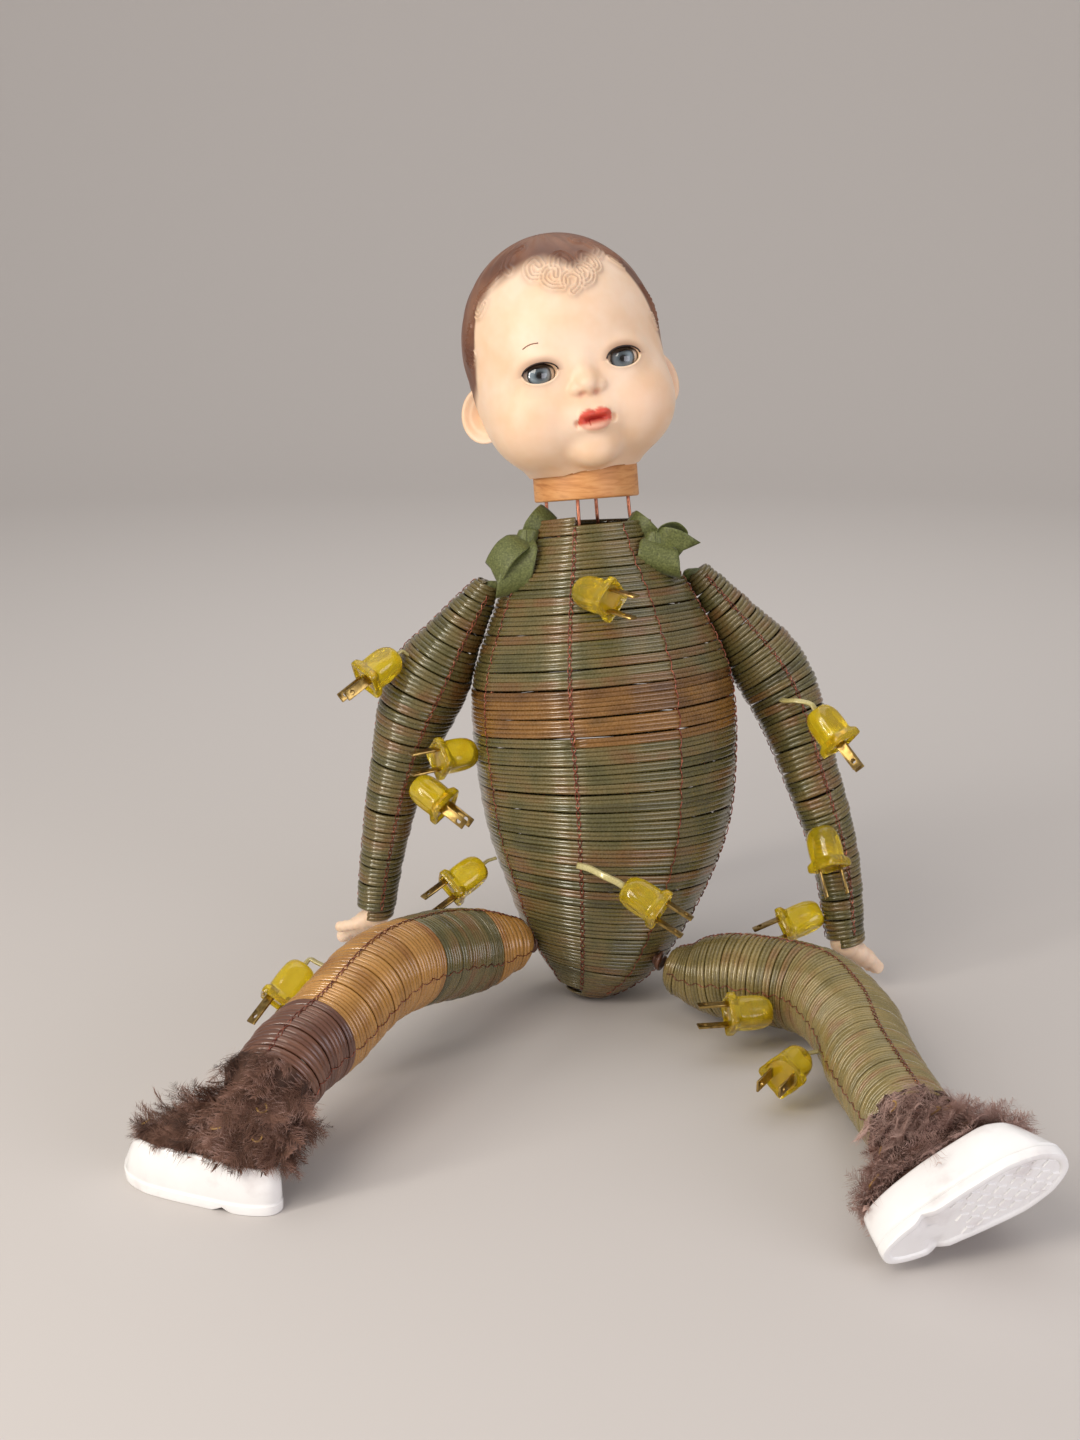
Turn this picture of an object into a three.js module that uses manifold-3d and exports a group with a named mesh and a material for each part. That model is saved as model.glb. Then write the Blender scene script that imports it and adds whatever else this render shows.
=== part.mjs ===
// Art doll: a baby-doll head on a basket body coiled from two-core lamp cord, with small wall plugs on it.
// Millimetres, +Z up. The doll sits facing -Y, so its right side is at -X.
// The origin is the seat at the body's tip.
import * as THREE from "three";
import { mergeVertices } from "three/addons/utils/BufferGeometryUtils.js";
import Module from "manifold-3d";

const wasm = await Module();
wasm.setup();

// Clearances
const seatGap = 0.3; // between pieces that touch
const rowGap = 1.1; // between neighbouring rows of the basket
const limbGap = 2.4; // between neighbouring rows of an arm or leg, which close up inside a bend
const runningGap = 0.5; // round what turns
const settleReach = 8; // how far a seat is looked for

// Body basket: height along its axis, and its radius at heights up that axis
const bodyHeight = 303;
const bodyLean = 7.5; // degrees, backwards
const bellyShift = 13; // how far the basket bows to the doll's left
const tipHeight = 4;
const tipRadius = 16;
const hemHeight = 34;
const hemRadius = 43.5;
const bellyHeight = 100;
const bellyRadius = 72;
const waistHeight = 150;
const waistRadius = 80.5;
const chestHeight = 203;
const chestRadius = 80;
const shoulderHeight = 250;
const shoulderRadius = 62;
const collarShare = 28 / 53; // where the collar stands between shoulder and rim
const collarHeight = shoulderHeight + collarShare * (bodyHeight - shoulderHeight);
const collarRadius = 46;
const rimRadius = 35;
const cordDepth = 5; // thickness of the coiled cord wall
const bodySteps = 16; // straight steps in one turn, two for each spoke
const lowerTurns = 15.625;
const bandTurns = 2.375;
const upperTurns = 9;

// Copper spoke frame
const spokeCount = 8;
const spokeTurn = -13.5; // degrees, where the front spoke stands
const spokeDiameter = 2.2;
const hubRadius = 10;
const hubThickness = 2.5;
const postCircle = 25.5; // radius of the circle of posts in the neck ring
const postGap = 9.5; // bare post between the basket's rim and the ring

// Neck ring and head
const ringRadius = 32;
const ringBore = 21;
const ringHeight = 20;
const postDepth = 6; // how far a post goes into the ring
const headHalfWidth = 60;
const headFront = 60;
const headBack = 70;
const headTop = 73;
const headBottom = 74;
const headRise = 66; // head's centre above the ring
const headShift = -5; // head's centre to the doll's right of the ring
const headTurn = 9.5; // degrees, towards the doll's left
const headRoll = 11; // degrees, top of the head towards the doll's right
const headTip = -6; // degrees, face up
const headWall = 4;
const neckDepth = 9; // how far the neck reaches into the ring
const neckBore = 14; // how far the neck's bore runs up inside the head's wall
const chinFill = 10; // how much thicker the head is under the chin
const jawClearance = 3; // how far the head is trimmed beyond the ring
const earRadius = 14;
const earThickness = 6.5;
const earSink = 1; // ear's middle inside the side of the head
const earBack = 10; // behind the middle of the head
const earDrop = 10; // below the eyes
const noseRadius = 6;
const noseDrop = 12; // below the eyes
const noseRise = 1; // nose's middle in front of the face
const lipDrop = 31;
const lipWidth = 10; // half width of the mouth
const lipDepth = 3.2;
const lipHeight = 4.6;
const eyeRadius = 11;
const eyeSpread = 25; // from the middle of the face to each eye
const eyeLevel = -9;
const eyeSink = 1.2; // eyeball behind the face
const eyeWide = 9.5; // half width of the eye opening
const eyeTall = 6;
const axleRadius = 1.6;
const weightRadius = 5;
const weightDrop = 17;

// Arms and hands
const armDrop = 41; // arm's tie below the basket's rim
const armHeight = bodyHeight - armDrop;
const armTurns = 14;
const limbSteps = 8;
const armMouth = 0.4; // from the tie's pivot to the first row
const armWidest = 72;
const elbowAt = 140;
const armGap = 3.8; // between the widest part of the arm and the basket
const armTopRadius = 9;
const armWidestRadius = { right: 24, left: 22 };
const elbowRadius = 16.5;
const wristRadius = 11.5;
const knotRadius = 4.6; // ball of the knot, in the arm's mouth
const knotNeck = 3.2;
const knotLength = 10.5;
const knotSink = 0.7; // knot's end past the basket's round outline, which its straight steps undercut
const handLength = 44;
const handWidth = 24;
const handThickness = 15;
const pegDepth = 8; // how far the hand's peg goes into the arm

// Legs and shoes
const rightLegReach = 244.2; // from the hip's pivot to the ankle, seen from above
const leftLegReach = 225.8;
const legTurns = 17;
const hipBall = 17.7; // from the tie to the hip's pivot
const hipRound = 18; // radius of the round hip about that pivot
const thighAt = 46;
const thighRadius = 26;
const ankleRadius = 23;
const tieLength = 7;
const tieRadius = 6;
const tieSink = 0.35; // tie's tip past the basket's round outline
const shoeLength = 100;
const shoeWidth = 42;
const heelWidth = 30;
const shoeHeight = 28;
const heelCorner = 8; // corner radius at the heel
const toeCorner = 13;
const shoeWall = 3.5;
const solePocket = 6; // depth of the shoe's opening that holds the upper
const upperRings = 6;
const ankleSleeve = 14; // how far the upper reaches into the leg
const upperRise = 2; // first ring of the upper above the shoe

// Ribbon bows
const ribbonWidth = 16;
const ribbonThickness = 1.4;
const bowLoop = 22; // length of one loop
const bowSpread = 9; // height of one loop
const bowKnot = 1.6; // half thickness of the knot
const bowDrop = 27; // bow below the basket's rim
const bowHeight = bodyHeight - bowDrop;
const bowAngle = 62; // degrees from the front
const bowTilt = 20;
const bowSeat = 7.9; // the bow's middle above the basket

// Wall plugs
const plugLength = 27;
const plugRadius = 10;
const plugRim = 13;
const plugBack = 4.5; // flat at the narrow end
const plugRecess = 4;
const rimHeight = 2; // straight edge of the bell
const sidePlugShare = 0.6221; // height on the basket, as a share of the arm's tie
const flankPlugShare = 0.3359;
const bladeLength = 16.5;
const bladeWidth = 6.35;
const bladeThickness = 1.5;
const bladeSpacing = 12.7;
const bladeHole = 1.6;
const tailRadius = 1.6;
const tailBend = 4; // straight end of a tail behind its plug

const degree = Math.PI / 180;
const turn = 2 * Math.PI;
const point = (x, y, z) => new THREE.Vector3(x, y, z);
const pointOf = (list) => new THREE.Vector3(...list);

// Colours of the materials
const paint = (color, roughness, metalness = 0) =>
  new THREE.MeshStandardMaterial({ color, roughness, metalness });
const skin = paint(0xe9c7a0, 0.45);
const eyeGlass = paint(0x8fa3ad, 0.15);
const wood = paint(0xc98a55, 0.55);
const copper = paint(0xb06a48, 0.35, 1);
const oliveCord = paint(0x5d5433, 0.3);
const goldCord = paint(0xa9742f, 0.3);
const brownCord = paint(0x5a3826, 0.45);
const ribbon = paint(0x33452a, 0.5);
const shoeWhite = paint(0xf2f1f4, 0.35);
const feather = paint(0x4b362d, 0.9);
const amber = paint(0xd9b511, 0.2);
const brass = paint(0xb79a5a, 0.35, 1);
const paleCord = paint(0xcfc48a, 0.35);

// Solids for joining and cutting
function solidOf(geometry) {
  const bare = geometry.clone();
  bare.deleteAttribute("normal");
  bare.deleteAttribute("uv");
  const merged = mergeVertices(bare, 1e-4);
  const vertProperties = merged.attributes.position.array;
  const triVerts = new Uint32Array(merged.index.array);
  return new wasm.Manifold(new wasm.Mesh({ numProp: 3, vertProperties, triVerts }));
}

function geometryOf(solid) {
  const mesh = solid.getMesh();
  const geometry = new THREE.BufferGeometry();
  const corners = new Float32Array(mesh.numVert * 3);
  for (let i = 0; i < mesh.numVert; i += 1) {
    corners.set(mesh.vertProperties.subarray(i * mesh.numProp, i * mesh.numProp + 3), i * 3);
  }
  geometry.setAttribute("position", new THREE.BufferAttribute(corners, 3));
  geometry.setIndex(new THREE.BufferAttribute(new Uint32Array(mesh.triVerts), 1));
  return geometry;
}

const doll = new THREE.Group();

function add(name, geometry, material) {
  const mesh = new THREE.Mesh(geometry, material);
  mesh.name = name;
  doll.add(mesh);
  return mesh;
}

// Shifts a group of shapes along a direction until the first of them lies one seat gap off its host
function settle(shapes, host, inward) {
  const { geometry } = doll.getObjectByName(host);
  for (let i = 0; i < 3; i += 1) {
    const gap = solidOf(shapes[0]).minGap(solidOf(geometry), settleReach);
    const step = inward.clone().multiplyScalar(gap - seatGap);
    shapes.forEach((shape) => shape.translate(step.x, step.y, step.z));
  }
}

// A right-handed placement whose Y runs along a direction and whose X keeps close to a side
function placement(origin, along, side) {
  const y = along.clone().normalize();
  const x = side.clone().addScaledVector(y, -side.dot(y)).normalize();
  const z = x.clone().cross(y);
  return new THREE.Matrix4().makeBasis(x, y, z).setPosition(origin);
}

// Joins rings of points, each the same length, into one closed skin with flat ends
function loft(rings) {
  const count = rings[0].length;
  const corners = rings.flat().concat([rings[0], rings.at(-1)].map(middle));
  const faces = [];
  for (let r = 0; r + 1 < rings.length; r += 1) {
    for (let i = 0; i < count; i += 1) {
      const j = (i + 1) % count;
      const a = r * count;
      const b = a + count;
      faces.push(a + i, a + j, b + i, a + j, b + j, b + i);
    }
  }
  const last = (rings.length - 1) * count;
  const start = rings.length * count;
  for (let i = 0; i < count; i += 1) {
    const j = (i + 1) % count;
    faces.push(start, j, i, start + 1, last + i, last + j);
  }
  const geometry = new THREE.BufferGeometry().setFromPoints(corners);
  geometry.setIndex(faces);
  return solidOf(geometry).volume() < 0 ? flipped(geometry) : geometry;
}

function middle(ring) {
  return ring.reduce((sum, corner) => sum.add(corner), point(0, 0, 0)).divideScalar(ring.length);
}

function flipped(geometry) {
  const faces = geometry.index.array;
  for (let i = 0; i < faces.length; i += 3) {
    [faces[i + 1], faces[i + 2]] = [faces[i + 2], faces[i + 1]];
  }
  return geometry;
}

// A round form along a bent centre line; its outline is a list of [distance along the line, radius]
class Form {
  constructor(line, front, stations) {
    this.line = line;
    this.front = front;
    this.outline = new THREE.SplineCurve(stations.map(([s, r]) => new THREE.Vector2(s, r)));
    this.outline.arcLengthDivisions = 400;
    this.span = this.outline.getLength();
  }

  frame(s) {
    const length = this.line.getLength();
    const share = THREE.MathUtils.clamp(s / length, 0, 1);
    const along = this.line.getTangentAt(share);
    const centre = this.line.getPointAt(share).addScaledVector(along, s - share * length);
    const out = this.front.clone().addScaledVector(along, -this.front.dot(along)).normalize();
    return { centre, along, out, across: along.clone().cross(out) };
  }

  // Distance along the line and radius, at a length u of the outline and a depth under the surface
  station(u, depth) {
    const share = THREE.MathUtils.clamp(u / this.span, 0, 1);
    const at = this.outline.getPointAt(share);
    const slope = this.outline.getTangentAt(share);
    const over = u - share * this.span;
    return [at.x + slope.x * over + slope.y * depth, at.y + slope.y * over - slope.x * depth];
  }

  surface(u, angle, depth = 0) {
    const [s, r] = this.station(u, depth);
    const { centre, out, across } = this.frame(s);
    return centre.addScaledVector(out, r * Math.cos(angle)).addScaledVector(across, r * Math.sin(angle));
  }

  normal(u, angle) {
    return this.surface(u, angle).sub(this.surface(u, angle, 1)).normalize();
  }
}

// One unbroken flat tube wound round a form between two turn counts, four corners at each step
let leastGap = Infinity;

function winding(form, pitch, gap, steps, firstAngle, fromTurn, toTurn) {
  const width = pitch - gap;
  const count = Math.round((toTurn - fromTurn) * steps);
  const rings = [];
  for (let i = 0; i <= count; i += 1) {
    const turns = fromTurn + i / steps;
    const u = pitch * (turns + 0.5);
    const trim = i === 0 ? seatGap : i === count ? -seatGap : 0;
    const [, radius] = form.station(u, 0);
    const angle = firstAngle + turn * turns + trim / radius;
    const low = u - width / 2;
    const high = u + width / 2;
    rings.push([
      form.surface(low, angle),
      form.surface(high, angle),
      form.surface(high, angle, cordDepth),
      form.surface(low, angle, cordDepth),
    ]);
  }
  for (let i = 0; i + steps <= count; i += 1) {
    const [, highOut, highIn] = rings[i];
    const [lowOut, , , lowIn] = rings[i + steps];
    leastGap = Math.min(leastGap, highOut.distanceTo(lowOut), highIn.distanceTo(lowIn));
  }
  return loft(rings);
}

// Body basket on its leaning, slightly bowed axis
const leanAlong = point(0, Math.sin(bodyLean * degree), Math.cos(bodyLean * degree));
const bodyPoint = (height, shift) => leanAlong.clone().multiplyScalar(height).setX(shift);
const bodyLine = new THREE.CatmullRomCurve3([
  bodyPoint(0, 0),
  bodyPoint(hemHeight, 0.55 * bellyShift),
  bodyPoint((bellyHeight + waistHeight) / 2, bellyShift),
  bodyPoint(shoulderHeight, 0.4 * bellyShift),
  bodyPoint(bodyHeight, 0.1 * bellyShift),
]);
const bodyForm = new Form(bodyLine, point(0, -1, 0), [
  [tipHeight, tipRadius],
  [hemHeight, hemRadius],
  [bellyHeight, bellyRadius],
  [waistHeight, waistRadius],
  [chestHeight, chestRadius],
  [shoulderHeight, shoulderRadius],
  [collarHeight, collarRadius],
  [bodyHeight, rimRadius],
]);

// Length of a form's outline up to a distance along its line
const heightShare = (form, s) => {
  let low = 0;
  let high = form.span;
  for (let i = 0; i < 40; i += 1) {
    const half = (low + high) / 2;
    if (form.station(half, 0)[0] < s) low = half;
    else high = half;
  }
  return low;
};

const spokeStart = spokeTurn * degree;
const bandStart = lowerTurns;
const bandEnd = lowerTurns + bandTurns;
const bodyTurns = bandEnd + upperTurns;
const bodyPitch = bodyForm.span / (bodyTurns + 1);
const basket = (from, to) => winding(bodyForm, bodyPitch, rowGap, bodySteps, spokeStart, from, to);
add("body_winding_lower", basket(0, bandStart), oliveCord);
add("body_winding_band", basket(bandStart, bandEnd), goldCord);
add("body_winding_upper", basket(bandEnd, bodyTurns), oliveCord);

// Start disc of the basket, cut flat where the doll sits
function revolved(profile, segments, matrix = new THREE.Matrix4()) {
  const outline = profile.map(([r, h]) => new THREE.Vector2(r, h));
  return new THREE.LatheGeometry(outline, segments).applyMatrix4(matrix);
}

const tipAxis = bodyForm.frame(0);
const tipFrame = placement(tipAxis.centre, tipAxis.along, tipAxis.across);
const firstRow = rowGap / 2 - seatGap;
const [tipEdgeHeight, tipEdge] = bodyForm.station(firstRow, 0);
const [tipTop, tipMouth] = bodyForm.station(firstRow, cordDepth);
const belowSeat = 2 * tipHeight;
const tipDisc = revolved(
  [[0, -tipHeight], [tipEdge / 2, -tipHeight], [tipEdge, tipEdgeHeight], [tipMouth, tipTop], [0, tipTop]],
  24,
  tipFrame,
);
const underSeat = new THREE.BoxGeometry(4 * tipRadius, 4 * tipRadius, belowSeat)
  .translate(0, 0, -belowSeat / 2);
add("body_start_disc", geometryOf(solidOf(tipDisc).subtract(solidOf(underSeat))), oliveCord);

// Copper spokes, crossed in a hub on the start disc, up inside the rows and into the neck ring
function wire(points, radius, sides) {
  let up = point(0, 1, 0.3);
  const rings = points.map((centre, i) => {
    const before = points[Math.max(i - 1, 0)];
    const after = points[Math.min(i + 1, points.length - 1)];
    const along = after.clone().sub(before).normalize();
    up = up.addScaledVector(along, -up.dot(along)).normalize();
    const side = along.clone().cross(up);
    return Array.from({ length: sides }, (_, k) => centre.clone()
      .addScaledVector(up, radius * Math.cos(turn * k / sides))
      .addScaledVector(side, radius * Math.sin(turn * k / sides)));
  });
  return loft(rings);
}

const hubBase = tipTop + seatGap;
const spokeInset = cordDepth + 4 * seatGap + spokeDiameter / 2;
const ringBase = bodyHeight + postGap;
const toShoulder = heightShare(bodyForm, shoulderHeight);
const toRim = bodyForm.span - toShoulder;
const spokeStations = [0.06, 0.18, 0.34, 0.5, 0.67, 0.84].map((part) => part * toShoulder)
  .concat([0, 0.14, 0.28, 0.42, 0.56, 0.7, 0.82, 0.94].map((part) => toShoulder + part * toRim));

function radial(height, radius, angle) {
  const { centre, out, across } = bodyForm.frame(height);
  return centre.addScaledVector(out, radius * Math.cos(angle))
    .addScaledVector(across, radius * Math.sin(angle));
}

// Every second spoke runs on as a post of the neck ring
function spoke(angle, i) {
  const points = [0.5, 1].map((share) => radial(hubBase + hubThickness / 2, share * hubRadius, angle));
  spokeStations.forEach((u) => points.push(bodyForm.surface(u, angle, spokeInset)));
  if (i % 2 === 0) {
    points.push(radial(ringBase - spokeDiameter, postCircle, angle));
    points.push(radial(ringBase + postDepth - seatGap, postCircle, angle));
  }
  return solidOf(wire(points, spokeDiameter / 2, 5));
}

const hub = revolved([[0, hubBase], [hubRadius, hubBase], [hubRadius, hubBase + hubThickness],
  [0, hubBase + hubThickness]], 16, tipFrame);
const spokeAngles = Array.from({ length: spokeCount }, (_, i) => spokeStart + turn * i / spokeCount);
const spokeFrame = spokeAngles.reduce((frame, angle, i) => frame.add(spoke(angle, i)), solidOf(hub));
add("spoke_frame", geometryOf(spokeFrame), copper);

// Neck ring with its post holes
const ringFrame = bodyForm.frame(ringBase);
const ringPlace = placement(ringFrame.centre, ringFrame.along, ringFrame.across);
const ringBlank = revolved([[ringBore, 0], [ringRadius, 0], [ringRadius, ringHeight], [ringBore, ringHeight],
  [ringBore, 0]], 20, ringPlace);
const postHole = (angle) => {
  const foot = radial(ringBase, postCircle, angle);
  const boreRadius = spokeDiameter / 2 + seatGap;
  const bore = new THREE.CylinderGeometry(boreRadius, boreRadius, 2 * postDepth, 6);
  return solidOf(bore.applyMatrix4(placement(foot, ringFrame.along, ringFrame.across)));
};
const postAngles = spokeAngles.filter((_, i) => i % 2 === 0);
const ring = postAngles.reduce((blank, angle) => blank.subtract(postHole(angle)), solidOf(ringBlank));
add("neck_ring", geometryOf(ring), wood);

// Head: an egg with ears, nose and lips, hollow, open at the eyes and the neck; its own frame faces -Y
const ringTop = ringFrame.centre.clone().addScaledVector(ringFrame.along, ringHeight);
const headCentre = ringTop.clone().addScaledVector(ringFrame.along, headRise).add(point(headShift, 0, 0));
const headPlace = new THREE.Matrix4().makeRotationY(-headRoll * degree)
  .multiply(new THREE.Matrix4().makeRotationZ(headTurn * degree))
  .multiply(new THREE.Matrix4().makeRotationX(headTip * degree))
  .setPosition(headCentre);

function egg(inset, bottomInset, segments, rows) {
  const geometry = new THREE.SphereGeometry(1, segments, rows).rotateX(Math.PI / 2);
  const corners = geometry.attributes.position;
  for (let i = 0; i < corners.count; i += 1) {
    const depth = corners.getY(i) < 0 ? headFront : headBack;
    const height = corners.getZ(i) > 0 ? headTop - inset : headBottom - bottomInset;
    corners.setXYZ(i, corners.getX(i) * (headHalfWidth - inset), corners.getY(i) * (depth - inset),
      corners.getZ(i) * height);
  }
  return geometry;
}

const lump = (x, y, z, [wide, deep, tall], segments = 12) =>
  new THREE.SphereGeometry(1, segments, 8).rotateX(Math.PI / 2).scale(wide, deep, tall).translate(x, y, z);
const faceDepth = (x, z) =>
  headFront * Math.sqrt(1 - (x / headHalfWidth) ** 2 - (z / (z > 0 ? headTop : headBottom)) ** 2);
const inHead = (geometry) => solidOf(geometry.applyMatrix4(headPlace));
const sides = [["right", -1], ["left", 1]];

const eyeDepth = faceDepth(eyeSpread, eyeLevel) - eyeSink - eyeRadius;
const noseLevel = eyeLevel - noseDrop;
const lipLevel = eyeLevel - lipDrop;
const lips = [lipWidth, lipDepth, lipHeight];
const nose = [noseRadius, noseRadius, 0.85 * noseRadius];
const earReach = [earThickness, 0.62 * earRadius, earRadius];
let head = inHead(egg(0, 0, 20, 12));
head = head.add(inHead(lump(0, -faceDepth(0, noseLevel) - noseRise, noseLevel, nose)));
head = head.add(inHead(lump(0, -faceDepth(0, lipLevel), lipLevel, lips)));
sides.forEach(([, sign]) => {
  head = head.add(inHead(lump(sign * (headHalfWidth - earSink), earBack, eyeLevel - earDrop, earReach)));
});
const neckCut = (radius, from, to, segments = 24) => {
  const cutter = revolved([[0, from], [radius, from], [radius, to], [0, to]], segments,
    placement(ringTop, ringFrame.along, ringFrame.across));
  return solidOf(cutter);
};
const neckRadius = ringBore - runningGap;
const neckReach = headWall + neckBore;
head = head.subtract(neckCut(ringRadius + jawClearance, -headBottom, runningGap));
head = head.add(neckCut(neckRadius, -neckDepth, neckReach / 2));
head = head.subtract(inHead(egg(headWall, headWall + chinFill, 12, 8)));
head = head.subtract(neckCut(neckRadius - headWall, -headBottom, neckReach + chinFill));
sides.forEach(([, sign]) => {
  const socket = eyeRadius + 2 * runningGap;
  head = head.subtract(inHead(lump(sign * eyeSpread, -eyeDepth, eyeLevel, [socket, socket, socket], 12)));
  const mouth = [eyeWide, eyeRadius, eyeTall];
  head = head.subtract(inHead(lump(sign * eyeSpread, -eyeDepth - eyeRadius, eyeLevel, mouth, 12)));
});
add("head_shell", geometryOf(head), skin);

// Sleep eyes on their weighted bar, which hangs straight down
sides.forEach(([side, sign]) => {
  const ball = new THREE.SphereGeometry(eyeRadius, 14, 8).translate(sign * eyeSpread, -eyeDepth, eyeLevel);
  add("eye_" + side, ball.applyMatrix4(headPlace), eyeGlass);
});
const eyeAxle = point(0, -eyeDepth, eyeLevel).applyMatrix4(headPlace);
const eyeAcross = point(1, 0, 0).transformDirection(headPlace);
const axleLength = 2 * (eyeSpread - eyeRadius - seatGap);
const rod = (length, radius, centre, along) =>
  solidOf(new THREE.CylinderGeometry(radius, radius, length, 10)
    .applyMatrix4(placement(centre, along, point(0, 1, 0))));
const weightCentre = eyeAxle.clone().add(point(0, 0, -weightDrop));
const hanger = weightCentre.clone().add(eyeAxle).divideScalar(2);
let eyeBar = rod(axleLength, axleRadius, eyeAxle, eyeAcross);
eyeBar = eyeBar.add(rod(weightDrop, axleRadius, hanger, point(0, 0, 1)));
eyeBar = eyeBar.add(rod(3 * weightRadius, weightRadius, weightCentre, eyeAcross));
add("eye_weight_bar", geometryOf(eyeBar), brass);

// Arms hang from a ribbon knot at each shoulder, beside the basket's flank
const flank = (z, sign) => {
  const height = z / leanAlong.z;
  const [, radius] = bodyForm.station(heightShare(bodyForm, height), 0);
  return radial(height, radius, sign * Math.PI / 2).x;
};

function shoulderPivot(sign) {
  const u = heightShare(bodyForm, armHeight);
  return bodyForm.surface(u, sign * Math.PI / 2).add(point(sign * knotLength, 0, 0));
}

function armForm(sign, widest, route) {
  const pivot = shoulderPivot(sign);
  const points = route.map(([share, back, out]) => {
    const z = share * pivot.z;
    return point(flank(z, sign) + sign * out, pivot.y + back, z);
  });
  const toArm = points[0].clone().sub(pivot).normalize();
  const top = pivot.clone().addScaledVector(toArm, armMouth);
  const line = new THREE.CatmullRomCurve3([top, ...points]);
  const length = line.getLength();
  return new Form(line, point(0, -1, 0), [
    [0, armTopRadius],
    [armWidest / 2, 0.65 * widest],
    [armWidest, widest],
    [elbowAt, elbowRadius],
    [length, wristRadius],
  ]);
}

// Each point of an arm: its height as a share of the pivot's, how far back, and how far out from the flank
const armForms = {
  right: armForm(-1, armWidestRadius.right, [
    [0.7446, 2, armWidestRadius.right + armGap],
    [0.5363, 6, 50],
    [0.3202, 10, 74],
    [0.1434, 14, 98],
  ]),
  left: armForm(1, armWidestRadius.left, [
    [0.7485, -8, armWidestRadius.left + armGap + 3],
    [0.5466, -22, 46],
    [0.3561, -28, 73],
    [0.1313, -35, 113],
  ]),
};
const handAims = { right: point(-0.6, 0.5, -0.55), left: point(0.6, 0.5, -0.58) };

// A hand is a mitten with a thumb, on a wrist peg held in the last rows of the arm
function hand(form, aim, thumbSide) {
  const wrist = form.frame(form.line.getLength());
  const peg = wristRadius - cordDepth - 2 * seatGap;
  const heel = wrist.centre.clone().addScaledVector(wrist.along, seatGap + handThickness / 2);
  const palmCentre = heel.clone().addScaledVector(aim, handLength / 2 - handThickness / 2);
  const palm = new THREE.SphereGeometry(0.5, 10, 8).scale(handWidth, handLength, handThickness)
    .applyMatrix4(placement(palmCentre, aim, point(0, 1, 0)));
  const cuff = new THREE.CylinderGeometry(peg, peg, 2 * pegDepth, 10)
    .applyMatrix4(placement(wrist.centre, wrist.along, point(0, 1, 0)));
  const thumbTip = heel.clone().addScaledVector(aim, 0.3 * handLength)
    .addScaledVector(thumbSide, handWidth / 2);
  const thumbThickness = 0.4 * handThickness;
  const thumb = new THREE.SphereGeometry(0.5, 6, 6).scale(thumbThickness, 0.45 * handLength, thumbThickness)
    .applyMatrix4(placement(thumbTip, aim, thumbSide));
  return geometryOf(solidOf(palm).add(solidOf(cuff)).add(solidOf(thumb)));
}

const limbWinding = (form, turns, from, to) =>
  winding(form, form.span / (turns + 1), limbGap, limbSteps, 0, from, to);

sides.forEach(([side, sign]) => {
  const form = armForms[side];
  add("arm_winding_" + side, limbWinding(form, armTurns, 0, armTurns), oliveCord);
  add("hand_" + side, hand(form, handAims[side].normalize(), point(0, -1, 0)), skin);
  const pivot = shoulderPivot(sign);
  const knot = revolved(
    [[0, -knotRadius], [0.7 * knotRadius, -0.7 * knotRadius], [knotRadius, 0], [knotNeck, 0.6 * knotRadius],
      [knotNeck, knotLength - knotNeck], [0, knotLength + knotSink - seatGap]],
    10,
    placement(pivot, point(-sign, 0, 0), point(0, 1, 0)),
  );
  add("shoulder_knot_" + side, knot, ribbon);
});

// Ribbon bow: two loops and a knot in one band, as wide as the ribbon
function bow() {
  const outline = new THREE.Shape();
  outline.moveTo(0, bowKnot);
  outline.bezierCurveTo(bowLoop / 2, bowSpread, bowLoop, bowSpread, bowLoop, 0);
  outline.bezierCurveTo(bowLoop, -bowSpread, bowLoop / 2, -bowSpread, 0, -bowKnot);
  outline.bezierCurveTo(-bowLoop / 2, -bowSpread, -bowLoop, -bowSpread, -bowLoop, 0);
  outline.bezierCurveTo(-bowLoop, bowSpread, -bowLoop / 2, bowSpread, 0, bowKnot);
  const eyeEnd = bowLoop - ribbonThickness;
  const eyeHigh = bowSpread - 1.5 * ribbonThickness;
  [1, -1].forEach((way) => {
    const eye = new THREE.Path();
    eye.moveTo(way * 2 * bowKnot, 0);
    eye.bezierCurveTo(way * bowLoop / 2, -way * eyeHigh, way * eyeEnd, -way * eyeHigh, way * eyeEnd, 0);
    eye.bezierCurveTo(way * eyeEnd, way * eyeHigh, way * bowLoop / 2, way * eyeHigh, way * 2 * bowKnot, 0);
    outline.holes.push(eye);
  });
  const cut = { depth: ribbonWidth, bevelEnabled: false, curveSegments: 5 };
  return new THREE.ExtrudeGeometry(outline, cut).translate(0, 0, -ribbonWidth / 2);
}

sides.forEach(([side, sign]) => {
  const u = heightShare(bodyForm, bowHeight);
  const angle = sign * bowAngle * degree;
  const out = bodyForm.normal(u, angle);
  const up = bodyForm.surface(u + 1, angle).sub(bodyForm.surface(u, angle)).normalize();
  const seat = bodyForm.surface(u, angle).addScaledVector(out, bowSeat);
  const leanSide = up.clone().applyAxisAngle(out, sign * bowTilt * degree);
  const place = placement(seat, out, leanSide);
  const band = bow().applyMatrix4(place);
  settle([band], "body_winding_upper", out.clone().negate());
  add("shoulder_bow_" + side, band, ribbon);
});

// Legs start in a round hip behind a cord tie and run out to the ankle
function hip(height, angle, aim) {
  const seat = bodyForm.surface(heightShare(bodyForm, height), angle * degree);
  const along = pointOf(aim).normalize();
  const end = seat.clone().addScaledVector(along, tieLength);
  return { seat, along, end, pivot: end.clone().addScaledVector(along, hipBall) };
}

const hips = { right: hip(34, -64, [-0.74, -0.62, 0.2]), left: hip(36, 52, [0.87, -0.42, -0.2]) };
const legReach = { right: rightLegReach, left: leftLegReach };
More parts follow.
